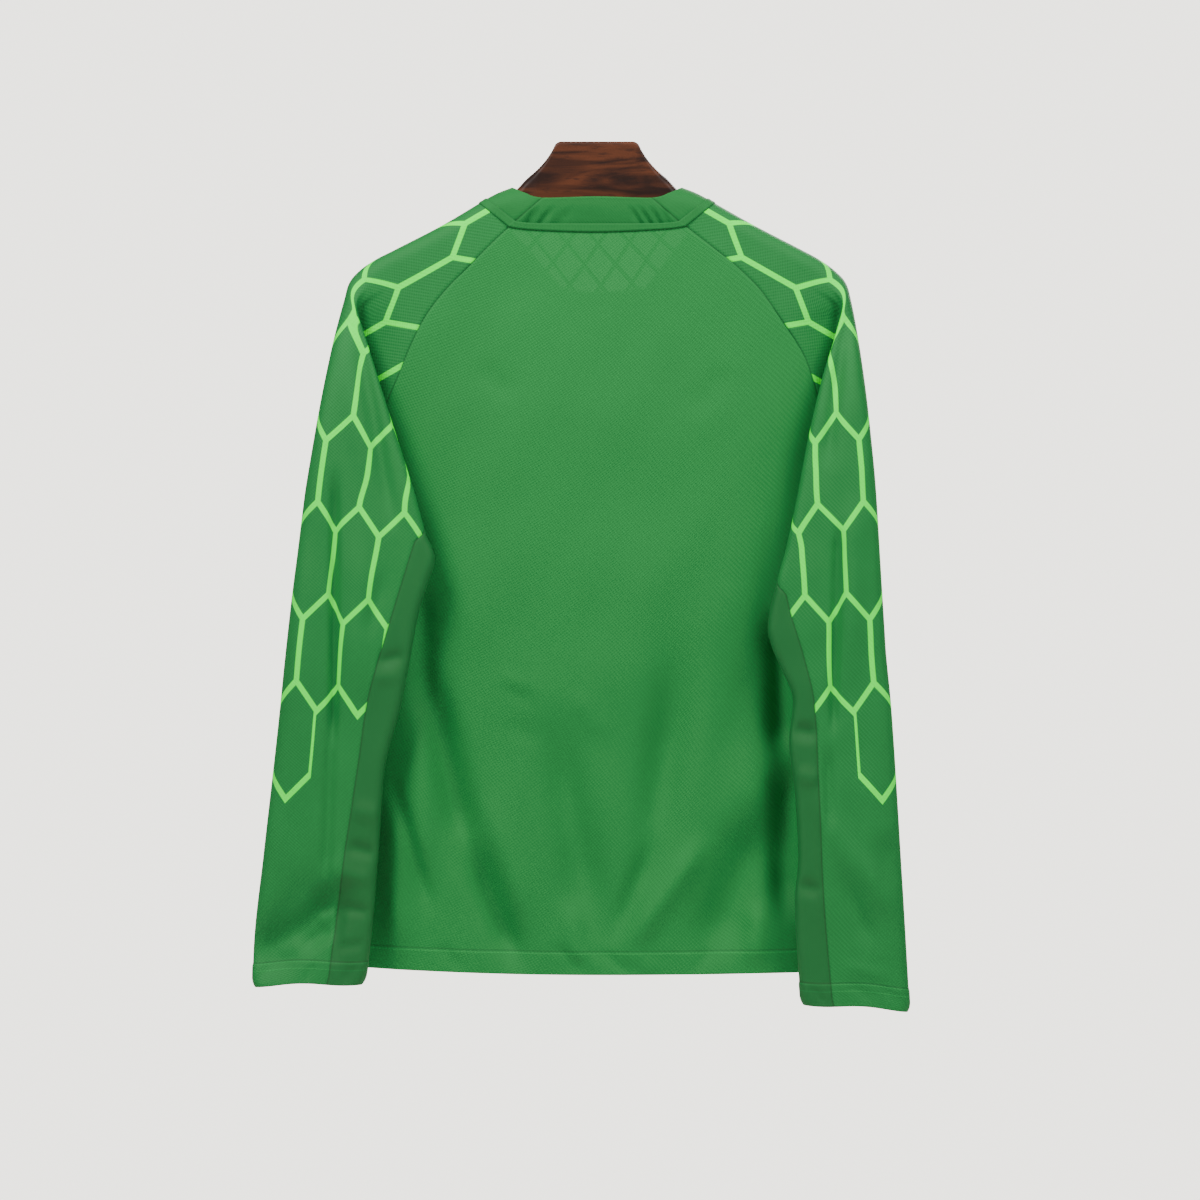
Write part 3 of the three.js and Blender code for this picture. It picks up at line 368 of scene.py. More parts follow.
def body_uv(rows):
    """Distance along each row from its middle, and down each column from the neck."""
    along = lengths(rows)
    down = lengths(rows.transpose(1, 0, 2)).T
    return np.stack([along - along[:, -1:] / 2, down], -1)


# Depth and width of the drop at a seam; where a doubled hem starts and is full, how much it
# swells and where it closes; and where a rolled rim closes and how far down it is thicker.
SEAM_DROP, SEAM_WIDTH = 0.7, 1.5
HEM_STEP, HEM_FULL, HEM_SWELL, HEM_CLOSES = 22.0, 19.5, 0.35, 0.9
RIM_CLOSES, RIM_WIDTH = 0.8, 1.6


def shell(name, rows, outside, inside, uv, thick=1.0, hem=None, wrap=False, top_rim=0):
    """A closed thin shell that lies one thickness inwards from a grid of points. At a side seam it
    drops by a bell. Beside a hem its outer side rises by twice the swell, and its end closes in a
    quarter circle round the fold, as the top edge does at a rolled rim."""

    def closing(distance, reach):
        return np.sqrt(np.clip(1 - np.clip(1 - distance / reach, 0, 1) ** 2, 0.01, 1))

    height, width = rows.shape[:2]
    normal = outward(rows)
    half = np.full((height, width), thick / 2)
    lift = np.zeros((height, width))
    down = lengths(rows.transpose(1, 0, 2)).T
    seam = np.minimum(down, down[-1:] - down)
    if not wrap:
        along = lengths(rows)
        seam = np.minimum(along, along[:, -1:] - along)
        lift -= SEAM_DROP * np.exp(-((seam / SEAM_WIDTH) ** 2))
    if hem is not None:
        swell = HEM_SWELL * smooth(HEM_STEP, HEM_FULL, hem)
        half = (half + swell) * closing(hem, HEM_CLOSES)
        lift = lift + swell
    if top_rim:
        thicker = top_rim * np.exp(-((down / RIM_WIDTH) ** 2))
        half = half * closing(down, RIM_CLOSES) * (1 + thicker)
    middle = rows + normal * (lift - thick / 2)[..., None]
    outer = middle + normal * half[..., None]
    inner = middle - normal * half[..., None]
    points = np.concatenate([outer.reshape(-1, 3), inner.reshape(-1, 3)]) / 1000
    under = height * width
    index = np.arange(under).reshape(height, width)
    if wrap:
        index = np.concatenate([index, index[:, :1]], axis=1)
    here, beside = index[:-1, :-1], index[:-1, 1:]
    below, across = index[1:, :-1], index[1:, 1:]
    outer_faces = np.stack([here, below, across, beside], -1).reshape(-1, 4)
    inner_faces = np.stack([here, beside, across, below], -1).reshape(-1, 4) + under
    edges = [(index[0, :-1], index[0, 1:]), (index[-1, 1:], index[-1, :-1])]
    if not wrap:
        edges += [(index[1:, 0], index[:-1, 0]), (index[:-1, -1], index[1:, -1])]
    rims = [np.stack([one, other, other + under, one + under], -1) for one, other in edges]
    faces = np.concatenate([outer_faces, inner_faces, *rims])
    side_of_cloth = np.zeros(len(faces), dtype=np.int32)
    side_of_cloth[len(outer_faces) : 2 * len(outer_faces)] = 1
    mesh = bpy.data.meshes.new(name)
    mesh.from_pydata(points.tolist(), [], faces.tolist())
    mesh.materials.append(outside)
    mesh.materials.append(inside)
    mesh.polygons.foreach_set("material_index", side_of_cloth)
    corners = faces.ravel() % under
    layer = mesh.uv_layers.new(name="UVMap")
    layer.data.foreach_set("uv", uv.reshape(-1, 2)[corners].astype(np.float32).ravel())
    no_hem = np.full_like(seam, 99.0)
    for label, values in (("seam", seam), ("hem", no_hem if hem is None else hem)):
        attribute = mesh.attributes.new(label, "FLOAT", "POINT")
        attribute.data.foreach_set("value", np.tile(values.ravel(), 2).astype(np.float32))
    mesh.shade_smooth()
    mesh.set_sharp_from_angle(angle=1.0)
    piece = bpy.data.objects.new(name, mesh)
    bpy.context.collection.objects.link(piece)
    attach(piece, "root")
    return piece


def fall(tree, low, high, value):
    """A smooth step from 1 at low to 0 at high."""
    return calc(tree, "SUBTRACT", 1, rise(tree, low, high, value))


def away(tree, value, place):
    """Distance of a value from a place, on either side."""
    return calc(tree, "ABSOLUTE", calc(tree, "SUBTRACT", value, place))


def group(name, inputs, outputs):
    """An empty node group with float sockets: its tree, what it is given and what it puts out."""
    tree = bpy.data.node_groups.new(name, "ShaderNodeTree")
    for way, labels in (("INPUT", inputs), ("OUTPUT", outputs)):
        for label in labels:
            tree.interface.new_socket(label, in_out=way, socket_type="NodeSocketFloat")
    return tree, tree.nodes.new("NodeGroupInput").outputs, tree.nodes.new("NodeGroupOutput").inputs


def place(tree, shared, **inputs):
    """A shared group in a material, with its inputs set or linked."""
    made = tree.nodes.new("ShaderNodeGroup")
    made.node_tree = shared
    for label, value in inputs.items():
        feed(tree, value, made.inputs[label])
    return made.outputs


# Fine slanting ribs about 2.6 mm apart, each broken up into small loops.
knit_group, given, put = group("fine_slanting_knit", ["across", "down", "pitch"], ["height", "tone"])
waves = []
for slanting, turns in (
    (calc(knit_group, "MULTIPLY_ADD", given["down"], -0.8, given["across"]), 4.9),
    (calc(knit_group, "MULTIPLY_ADD", given["across"], 0.7, given["down"]), 7.0),
):
    phase = calc(knit_group, "DIVIDE", calc(knit_group, "MULTIPLY", slanting, turns), given["pitch"])
    waves.append(calc(knit_group, "SINE", phase))
knit_height = calc(knit_group, "MULTIPLY", calc(knit_group, "ADD", *waves), 0.8)
knit_group.links.new(knit_height, put["height"])
knit_group.links.new(calc(knit_group, "MULTIPLY_ADD", knit_height, 0.36, 0.5, clamp=True), put["tone"])

# One needle row beside a hem, each stitch about 3 mm long with a small gap.
STITCH_LENGTH = 3.1
stitch_group, given, put = group("stitch_row", ["aside", "along", "place"], ["mask"])
line = fall(stitch_group, 0.3, 0.7, away(stitch_group, given["aside"], given["place"]))
stitch = calc(stitch_group, "FRACT", calc(stitch_group, "DIVIDE", given["along"], STITCH_LENGTH))
dash = fall(stitch_group, 0.36, 0.46, away(stitch_group, stitch, 0.5))
stitch_group.links.new(calc(stitch_group, "MULTIPLY", line, dash), put["mask"])


def coordinates(tree):
    """Distances across and down the cloth, and from its side seam and hem."""
    uv = tree.nodes.new("ShaderNodeUVMap")
    uv.uv_map = "UVMap"
    parts = tree.nodes.new("ShaderNodeSeparateXYZ")
    tree.links.new(uv.outputs[0], parts.inputs[0])
    measures = []
    for label in ("seam", "hem"):
        attribute = tree.nodes.new("ShaderNodeAttribute")
        attribute.attribute_name = label
        measures.append(attribute.outputs["Fac"])
    return parts.outputs["X"], parts.outputs["Y"], *measures


def shaded(colour, amount):
    """A colour made lighter or darker."""
    return tuple(min(1, amount * part) for part in colour)


def cloth_material(name, colour, dark, pitch, bump, rough, sheen, stitches=(), marks=()):
    """Matt knit in two close shades with a trace of sheen, coloured marks, rows of stitches at
    distances from the hem with a painted shade line along the step above them, and painted shade
    in the drop at each seam. A mark is a function that gives a mask, and its colour."""
    material, tree, shader = new_material(name)
    across, down, seam, hem = coordinates(tree)
    knit = place(tree, knit_group, across=across, down=down, pitch=pitch)
    worn = noise(tree, tree.nodes.new("ShaderNodeTexCoord").outputs["Object"], 9, 3)
    shade = calc(tree, "MULTIPLY_ADD", worn, 0.5, calc(tree, "MULTIPLY", knit["tone"], 0.5))
    base = blend(tree, shade, dark, colour)
    for mask, mark in marks:
        base = blend(tree, mask(tree, across, down), base, mark)
    height = knit["height"]
    if stitches:
        rows = [place(tree, stitch_group, aside=hem, along=across, place=at)["mask"] for at in stitches]
        thread = rows[0]
        for row in rows[1:]:
            thread = calc(tree, "MAXIMUM", thread, row)
        base = blend(tree, calc(tree, "MULTIPLY", thread, 0.35), base, shaded(colour, 1.6))
        height = calc(tree, "MULTIPLY_ADD", thread, 2.5, height)
        # Painted shade: a dark line along the step where the doubled hem begins to swell.
        step = fall(tree, 0.3, 1.3, away(tree, hem, HEM_STEP))
        base = blend(tree, calc(tree, "MULTIPLY", step, 0.4), base, shaded(dark, 0.4))
    # Painted shade: the cloth darkens within about a millimetre of each seam and of a wrapped strip's
    # edges.
    seam_shade = calc(tree, "MULTIPLY", fall(tree, 0.2, 1.3, seam), 0.5)
    base = blend(tree, seam_shade, base, shaded(dark, 0.35))
    relief = tree.nodes.new("ShaderNodeBump")
    relief.inputs["Strength"].default_value = bump
    relief.inputs["Distance"].default_value = 0.0002
    tree.links.new(height, relief.inputs["Height"])
    tree.links.new(relief.outputs[0], shader.inputs["Normal"])
    tree.links.new(base, shader.inputs["Base Color"])
    shader.inputs["Roughness"].default_value = rough
    shader.inputs["Sheen Weight"].default_value = sheen
    shader.inputs["Sheen Roughness"].default_value = 0.5
    shader.inputs["Sheen Tint"].default_value = (*colour, 1)
    shader.inputs["Specular IOR Level"].default_value = 0.25
    return material


YOKE_MIDDLE, YOKE_HALF, YOKE_DEEP = 4.0, 97.0, 65.0
DIAMOND_WIDE, DIAMOND_HIGH = 29.0, 39.0


def yoke_mask(tree, across, down):
    """The yoke's lighter patch, widest at the neck with straight slanting sides and a level lower
    edge, less the thin lines of a diamond lattice: two families of slanting lines, each a triangle
    wave of a slanting distance."""
    aside = calc(tree, "DIVIDE", away(tree, across, YOKE_MIDDLE), YOKE_HALF)
    deep = calc(tree, "DIVIDE", down, YOKE_DEEP)
    side = calc(tree, "MULTIPLY_ADD", deep, 0.6, aside)
    patch = fall(tree, 0.95, 1.03, calc(tree, "MAXIMUM", side, deep))
    clear = []
    for diamond in (DIAMOND_HIGH, -DIAMOND_HIGH):
        level = calc(tree, "DIVIDE", across, DIAMOND_WIDE)
        turn = calc(tree, "ADD", level, calc(tree, "DIVIDE", down, diamond))
        clear.append(rise(tree, 0.05, 0.1, away(tree, calc(tree, "FRACT", turn), 0.5)))
    return calc(tree, "MULTIPLY", patch, calc(tree, "MINIMUM", *clear))


GREEN, GREEN_DARK, YOKE = (0.0115, 0.198, 0.037), (0.007, 0.137, 0.0245), (0.0137, 0.182, 0.0368)
BODY_FINISH = {"pitch": 2.9, "bump": 0.35, "rough": 0.75, "sheen": 0.1, "stitches": (19.5,)}
back_knit = cloth_material("back_knit", GREEN, GREEN_DARK, **BODY_FINISH, marks=[(yoke_mask, YOKE)])
inner_knit = cloth_material(
    "inner_knit", (0.010, 0.17, 0.032), (0.007, 0.13, 0.022), pitch=2.9, bump=0.2, rough=0.85, sheen=0.05
)

LEFT_SEAM = columns("out up", [
    (76, -74.5), (98, -95), (123, -120), (144, -142), (161, -165),
    (175, -193), (186, -220), (204, -261), (221, -306),
])
RIGHT_SEAM = columns("out up", [
    (76, -74.5), (103, -95), (127, -114), (150, -136), (169, -162),
    (186, -187), (197, -209), (211, -256), (221, -306),
])
back_folds = columns(FOLD, [
    (-166, -400, -160, -548, 12, 9.0, 0.3),
    (-160, -478, -114, -695, 15, 17.0, 0.35),
    (-124, -645, -68, -782, 14, 15.0, 0.35),
    (-168, -520, -160, -710, 15, -9.0, 0.35),
    (-182, -540, -187, -800, 19, -8.0, 0.3),
    (-190, -600, -187, -770, 11, -7.0, 0.3),
    (-193, -585, -152, -732, 7, 7.0, 0.35),
    (-104, -600, -62, -740, 14, -5.0, 0.4),
    (-54, -500, 8, -782, 20, 13.0, 0.4),
    (-60, -470, -34, -640, 12, -3.5, 0.4),
    (-24, -700, -16, -775, 11, -4.5, 0.4),
    (44, -330, 30, -580, 28, -6.0, 0.4),
    (82, -440, 44, -720, 20, 15.0, 0.45),
    (108, -640, 16, -768, 12, -8.0, 0.35),
    (58, -640, 10, -760, 11, 6.0, 0.4),
    (162, -606, 98, -782, 25, 17.0, 0.35),
    (150, -420, 112, -640, 22, 7.0, 0.45),
    (170, -430, 174, -590, 14, 24.0, 0.3),
    (178, -560, 175, -742, 16, 23.0, 0.3),
    (150, -705, 146, -775, 11, -6.0, 0.35),
    (-94, -494, -60, -514, 7, -1.3, 0.4),
    (-90, -509, -52, -526, 7, 1.0, 0.4),
    (-92, -540, -48, -562, 9, 1.0, 0.4),
    (-24, -508, 12, -562, 10, -2.0, 0.4),
    (-40, -746, -14, -776, 5, 2.2, 0.3),
    (-22, -750, 6, -778, 5, -1.6, 0.3),
    (2, -752, 32, -778, 5, 2.2, 0.3),
    (26, -754, 60, -776, 6, -1.4, 0.3),
    (-150, -750, -122, -776, 6, 1.8, 0.3),
    (108, -752, 86, -778, 6, 1.8, 0.3),
    (-118, -205, -72, -242, 12, 1.3, 0.4),
    (128, -205, 84, -262, 14, 1.8, 0.4),
    (-168, -330, -148, -520, 16, 3.4, 0.4),
    (-128, -340, -112, -500, 18, -2.4, 0.4),
    (166, -300, 150, -520, 14, 3.0, 0.4),
    (132, -330, 120, -480, 18, -2.0, 0.4),
])
back_rows, back_hem = body_panel(-1, (LEFT_SEAM, RIGHT_SEAM), (-77, 24, 8), 150, back_folds, 4)
back_panel = shell(
    "back_panel_cloth", back_rows, back_knit, inner_knit, body_uv(back_rows), hem=back_hem
)
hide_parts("back_panel")


# Front panel
# The matching piece of the same knit, sewn to the back panel down both sides, with a lower scooped
# neck. Its folds are as soft but lie elsewhere.
front_knit = cloth_material("front_knit", GREEN, GREEN_DARK, **BODY_FINISH)
FRONT_SEAM = columns("out up", [
    (86, -84), (108, -112), (134, -146), (160, -187), (184, -228), (204, -267), (221, -306),
])
front_folds = columns(FOLD, [
    (134, -500, 90, -800, 17, 7.3, 0.35),
    (40, -470, 6, -800, 19, 5.9, 0.4),
    (-70, -490, -86, -800, 17, 7, 0.35),
    (-148, -540, -168, -800, 13, 5.9, 0.35),
    (98, -560, 62, -790, 15, -3.1, 0.4),
    (-20, -560, -34, -790, 16, -2.8, 0.4),
    (-112, -580, -122, -800, 14, -3.1, 0.4),
    (150, -210, 84, -268, 16, 2.2, 0.4),
    (-152, -214, -90, -276, 15, 2.2, 0.4),
])
front_rows, front_hem = body_panel(1, (FRONT_SEAM, FRONT_SEAM), (-127, 66, 2.4), 110, front_folds, 9)
front_panel = shell(
    "front_panel_cloth", front_rows, front_knit, inner_knit, body_uv(front_rows), hem=front_hem
)
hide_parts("front_panel")


# Sleeves
# Each is one piece of knit from the neck seam over the shoulder to a turned cuff, with a net print.
# From the tip of the shoulder it folds back over the body, and below the underarm it lies flat.
CELL, WALL, PITCH = 43.0, 58.0, 84.0
LINE_HALF, LINE_FADE = 2.2, 2.9


def cell_edge(tree, given, shift_across, shift_down):
    """Distance to the outline of the nearest cell of a grid: the larger of the distance past its
    upright wall and past its slanting roof, and far away where the cell lies below the print."""

    def nearest(value, step, shift):
        steps = calc(tree, "ROUND", calc(tree, "DIVIDE", calc(tree, "SUBTRACT", value, shift), step))
        return calc(tree, "MULTIPLY_ADD", steps, step, shift)

    middle_across = nearest(given["across"], CELL, shift_across)
    middle_down = nearest(given["down"], 2 * PITCH, shift_down)
    from_across = away(tree, given["across"], middle_across)
    from_down = away(tree, given["down"], middle_down)
    wall = calc(tree, "SUBTRACT", from_across, CELL / 2)
    roof_height = PITCH - WALL
    slope = np.hypot(CELL / 2, roof_height)
    normal_across, normal_down = roof_height / slope, CELL / 2 / slope
    top = -(WALL / 2 + roof_height) * normal_down
    roof = calc(tree, "MULTIPLY_ADD", from_down, normal_down, top)
    roof = calc(tree, "MULTIPLY_ADD", from_across, normal_across, roof)
    edge = calc(tree, "ABSOLUTE", calc(tree, "MAXIMUM", wall, roof))
    depth = calc(tree, "MULTIPLY_ADD", calc(tree, "ABSOLUTE", middle_across), given["lean"], middle_down)
    below = calc(tree, "GREATER_THAN", depth, given["lowest"])
    return calc(tree, "MULTIPLY_ADD", below, 900.0, edge)


# Light lines about 5 mm wide outline long six-sided cells, whole cells only, down to the forearm.
net_group, given, put = group("net_print", ["across", "down", "lowest", "lean"], ["mask"])
edges = [cell_edge(net_group, given, *shift) for shift in ((0.0, 0.0), (CELL / 2, PITCH))]
nearest_edge = calc(net_group, "MINIMUM", *edges)
net_group.links.new(fall(net_group, LINE_HALF, LINE_FADE, nearest_edge), put["mask"])


def net_mask(tree, across, down):
    """The net's lines, down to cells whose middle is 660 mm from the neck, less beside the edge."""
    return place(tree, net_group, across=across, down=down, lowest=660.0, lean=1.3)["mask"]


SLEEVE, SLEEVE_DARK, PRINT = (0.010, 0.178, 0.034), (0.006, 0.122, 0.023), (0.03, 0.9, 0.03)
CUFF_STITCHES = (14.0, 20.5)
sleeve_knit = cloth_material(
    "sleeve_knit", SLEEVE, SLEEVE_DARK, pitch=2.9, bump=0.35, rough=0.72, sheen=0.1,
    stitches=CUFF_STITCHES, marks=[(net_mask, PRINT)],
)

LEFT = {
    "sign": -1,
    "cuff": (-784, -786),
    "back": LEFT_SEAM,
    "top": columns("out up", [
        (103, -53), (144, -77.5), (187, -99.8), (207, -110), (222, -120.5),
        (231.5, -132), (236.2, -148.8), (245.5, -186), (256.7, -241.8), (267.8, -306),
    ]),
    "edge": columns("up outer ridge", [
        (-306, 267.8, 176.3), (-326, 271, 170), (-366, 276, 159), (-390, 279, 150.5),
        (-409, 281.5, 156), (-438, 285, 165), (-488, 290.5, 174.5), (-526, 294.3, 182),
        (-587, 301, 197.5), (-663, 309.8, 203), (-754, 319.3, 211), (-786, 320, 216),
    ]),
    "fold": columns("up ridge valley", [
        (-128, 231, 229), (-159, 223, 226), (-195, 211.6, 224),
        (-232, 200, 224), (-278, 185.4, 224), (-306, 176.3, 225),
    ]),
    "panel": columns("up seam hidden", [
        (-353, 162.5, 215), (-386, 173, 208), (-465, 197, 212), (-523, 213, 218),
        (-583, 222, 226), (-663, 234, 236), (-744, 244.5, 246), (-786, 250, 252),
    ]),
    "creases": columns(FOLD, [
        (226, -160, 186, -372, 7, 5.4, 0.25),
        (238, -180, 208, -350, 10, -3.0, 0.3),
        (243, -300, 245, -570, 4.5, 6.0, 0.15),
        (246, -520, 252, -722, 6, 4.0, 0.3),
        (218, -310, 226, -560, 18, -7.0, 0.4),
        (268, -340, 276, -660, 14, -3.0, 0.4),
        (196, -395, 214, -470, 8, 2.6, 0.4),
        (228, -686, 328, -778, 24, 17.5, 0.3),
        (222, -656, 300, -744, 12, -5.0, 0.4),
        (238, -728, 280, -754, 7, 4.4, 0.4),
        (240, -716, 262, -728, 5, -2.4, 0.4),
        (262, -742, 312, -760, 8, -2.6, 0.4),
        (236, -700, 244, -775, 5, 3.0, 0.35),
        (176, -478, 206, -486, 6, 3.0, 0.35),
        (180, -496, 210, -502, 7, -1.8, 0.35),
        (198, -630, 230, -620, 9, -2.4, 0.35),
        (202, -664, 236, -656, 7, 3.4, 0.35),
        (206, -688, 240, -680, 7, -2.4, 0.35),
        (208, -718, 242, -712, 5, 2.6, 0.35),
        (212, -745, 243, -752, 5, 2.0, 0.35),
        (298, -762, 318, -785, 5, 1.6, 0.4),
        (258, -762, 276, -786, 4, 1.5, 0.4),
        (224, -764, 238, -786, 4, 1.5, 0.4),
    ]),
}
RIGHT = {
    "sign": 1,
    "cuff": (-803, -809),
    "back": RIGHT_SEAM,
    "top": columns("out up", [
        (103, -53), (144, -76.3), (187, -98.6), (208, -110), (223, -121),
        (232.5, -132), (237.2, -148.8), (243.7, -186), (251.1, -241.8), (257.7, -306),
    ]),
    "edge": columns("up outer ridge", [
        (-306, 257.7, 190.6), (-326, 259.3, 187), (-378, 262.5, 176), (-407, 264.2, 168),
        (-455, 267.2, 158.5), (-472, 268.2, 162.5), (-487, 269.5, 169), (-522, 273, 182),
        (-560, 275.8, 178.5), (-610, 279, 184), (-668, 282.6, 186.9), (-710, 285.2, 183.8),
        (-809, 291, 189.5),
    ]),
    "fold": columns("up ridge valley", [
        (-128, 232, 230), (-155, 228.5, 228), (-184, 220.8, 226),
        (-220, 209.6, 225), (-271, 197.5, 224), (-306, 190.6, 225),
    ]),
    "panel": columns("up seam hidden", [
        (-402, 171, 213), (-440, 179.5, 210), (-480, 191.6, 208), (-523, 201.4, 212),
        (-602, 206, 214), (-699, 210, 216), (-809, 219, 222),
    ]),
    "creases": columns(FOLD, [
        (233, -150, 212, -310, 6, 4.6, 0.25),
        (242, -180, 222, -350, 10, -2.6, 0.3),
        (224, -350, 219, -560, 4.5, 5.0, 0.15),
        (237, -300, 236, -520, 12, -6.0, 0.35),
        (196, -350, 200, -500, 10, -2.0, 0.4),
        (250, -540, 256, -760, 12, -3.0, 0.35),
        (214, -560, 216, -650, 5, 3.0, 0.3),
        (200, -600, 250, -704, 11, -3.4, 0.4),
        (224, -676, 262, -762, 10, 4.6, 0.4),
        (236, -650, 284, -738, 10, -3.6, 0.4),
        (262, -640, 292, -700, 12, 3.0, 0.4),
        (178, -546, 208, -554, 8, 4.4, 0.4),
        (184, -584, 206, -600, 8, -3.0, 0.4),
        (184, -690, 210, -700, 7, 3.4, 0.4),
        (222, -765, 280, -780, 6, -1.8, 0.4),
        (198, -784, 214, -806, 4, 1.5, 0.4),
        (228, -780, 262, -802, 5, 1.6, 0.4),
        (262, -784, 288, -808, 5, 1.4, 0.4),
    ]),
}
HANG = columns("up edge half ridge_back ridge_face valley_back valley_face", [
    (-53, 0, 17, -18, -18, -18, -18),
    (-127, 0, 18, -19, -20, -17, -18),
    (-160, -12, 18, -23, -33, -13, -19),
    (-200, -28, 18, -30, -45, -9, -20),
    (-250, -40, 17, -33, -52, -7, -19),
    (-306, -45, 16, -34, -56, -4, -18),
    (-340, -46, 14, -34, -58, -3, -18),
    (-450, -46, 13, -34, -58, -3, -18),
    (-810, -45, 12, -34, -56, -3, -18),
])
UNDERARM_TURN = columns("up out point valley", [
    (0, 221, -1, -18), (-14, 222.5, -14, -25), (-28, 222, -25, -31), (-52, 217, -33.5, -34),
])
# Each turn of the fold has its column in the fold table and in HANG, its place along the straight
# row that it grows from, its height between the two seams, and its softness.
TURNS = (
    ("valley", "valley_back", 0.70, 0.42, 6),
    ("valley", "valley_face", 0.78, 0.48, 6),
    ("ridge", "ridge_back", 0.88, 0.60, 9),
    ("ridge", "ridge_face", 0.96, 0.66, 9),
)
EDGE_SOFT, RIDGE_SOFT = 17.0, 9.0
# The fold begins and is full at these shares of the raglan seam's length.
FOLD_BEGINS, FOLD_FULL = 0.41, 0.51
SEAM_HALF = 1.6
SLOPE, PRINT_SHIFT = np.radians(29.6), 10.5
CUFF_CORNER, CUFF_WAVE = 3.2, 1.4
FACE_COUNT, REAR_COUNT, STRIP_COUNT = 96, 50, 34


def rounded(corners, soft):
    """Rows through rows of corners, each corner rounded by a parabola as wide as its softness."""
    here = corners[:, 1:-1]
    mine = soft[:, 1:-1]
    ends = []
    for other, theirs in ((corners[:, :-2], soft[:, :-2]), (corners[:, 2:], soft[:, 2:])):
        reach = other - here
        length = np.linalg.norm(reach, axis=2)
        share = np.minimum(mine, length * mine / (mine + theirs + 1e-6)) / (length + 1e-6)
        ends.append((here + reach * share[..., None])[:, :, None])
    start, end = ends
    w = np.linspace(0, 1, 11)[:, None]
    bend = start * (1 - w) ** 2 + here[:, :, None] * 2 * w * (1 - w) + end * w**2
    return np.concatenate([corners[:, :1], bend.reshape(len(corners), -1, 3), corners[:, -1:]], axis=1)


def shoulder_rows(side):
    """Dense rows from the back raglan seam over the outer edge to the front one, and the distances
    along each to its outer edge, valley and ridge. The four turns grow out of a straight row."""
    seams = (side["back"], side["top"], FRONT_SEAM)
    (back, back_up), (top, top_up), (front, front_up) = [seam_points(seam, SHARES) for seam in seams]
    edge, half = read(HANG, "edge", top_up), read(HANG, "half", top_up)
    fold = smooth(FOLD_BEGINS, FOLD_FULL, SHARES)
    start = np.stack([back, -np.maximum(body_depth(back, back_up), SEAM_HALF), back_up], -1)
    end = np.stack([front, np.maximum(body_depth(front, front_up), SEAM_HALF), front_up], -1)
    upper, outer, lower = [np.stack([top, edge + y, top_up], -1) for y in (-half, 0, half)]
    straight_share = 1 - EDGE_SOFT / np.linalg.norm(upper - start, axis=1)
    corners, soft = [start], [0 * fold]
    for out, layer, birth, grown, softness in TURNS:
        straight = mix(start, upper, (birth * straight_share)[:, None])
        up = mix(back_up, top_up, grown)
        turned = np.stack([read(side["fold"], out, up), read(HANG, layer, up), up], -1)
        corners.append(mix(straight, turned, fold[:, None]))
        soft.append(softness * fold)
    wide = np.full_like(fold, EDGE_SOFT)
    face = rounded(np.stack([*corners, upper, outer], 1), np.stack([*soft, wide, 0 * fold], 1))
    rear = rounded(np.stack([outer, lower, end], 1), np.stack([0 * fold, wide, 0 * fold], 1))
    length = lengths(face)
    turns = [np.linalg.norm(face - corners[k][:, None], axis=2).argmin(1) for k in (1, 3)]
    valley, ridge = [np.take_along_axis(length, k[:, None], 1) for k in turns]
    return np.concatenate([face, rear[:, 1:]], axis=1), length[:, -1], valley, ridge


def pick(rows, numbers):
    """One value of each row."""
    return np.take_along_axis(rows, numbers[:, None], 1)[:, 0]


def crossing(outs, length, out, after, before):
    """Distance along each row where it first passes a distance out, between two of its points."""
    number = np.arange(outs.shape[1])[None]
    inside = (number[:, 1:] > after[:, None]) & (number[:, 1:] <= before[:, None])
    gap = outs - out[:, None]
    found = inside & (gap[:, :-1] * gap[:, 1:] <= 0) & (gap[:, :-1] != gap[:, 1:])
    k = np.where(found.any(1), found.argmax(1), after)
    one, other = pick(gap, k), pick(gap, k + 1)
    share = np.clip(one / np.where(one == other, 1, one - other), 0, 1)
    return mix(pick(length, k), pick(length, k + 1), share)


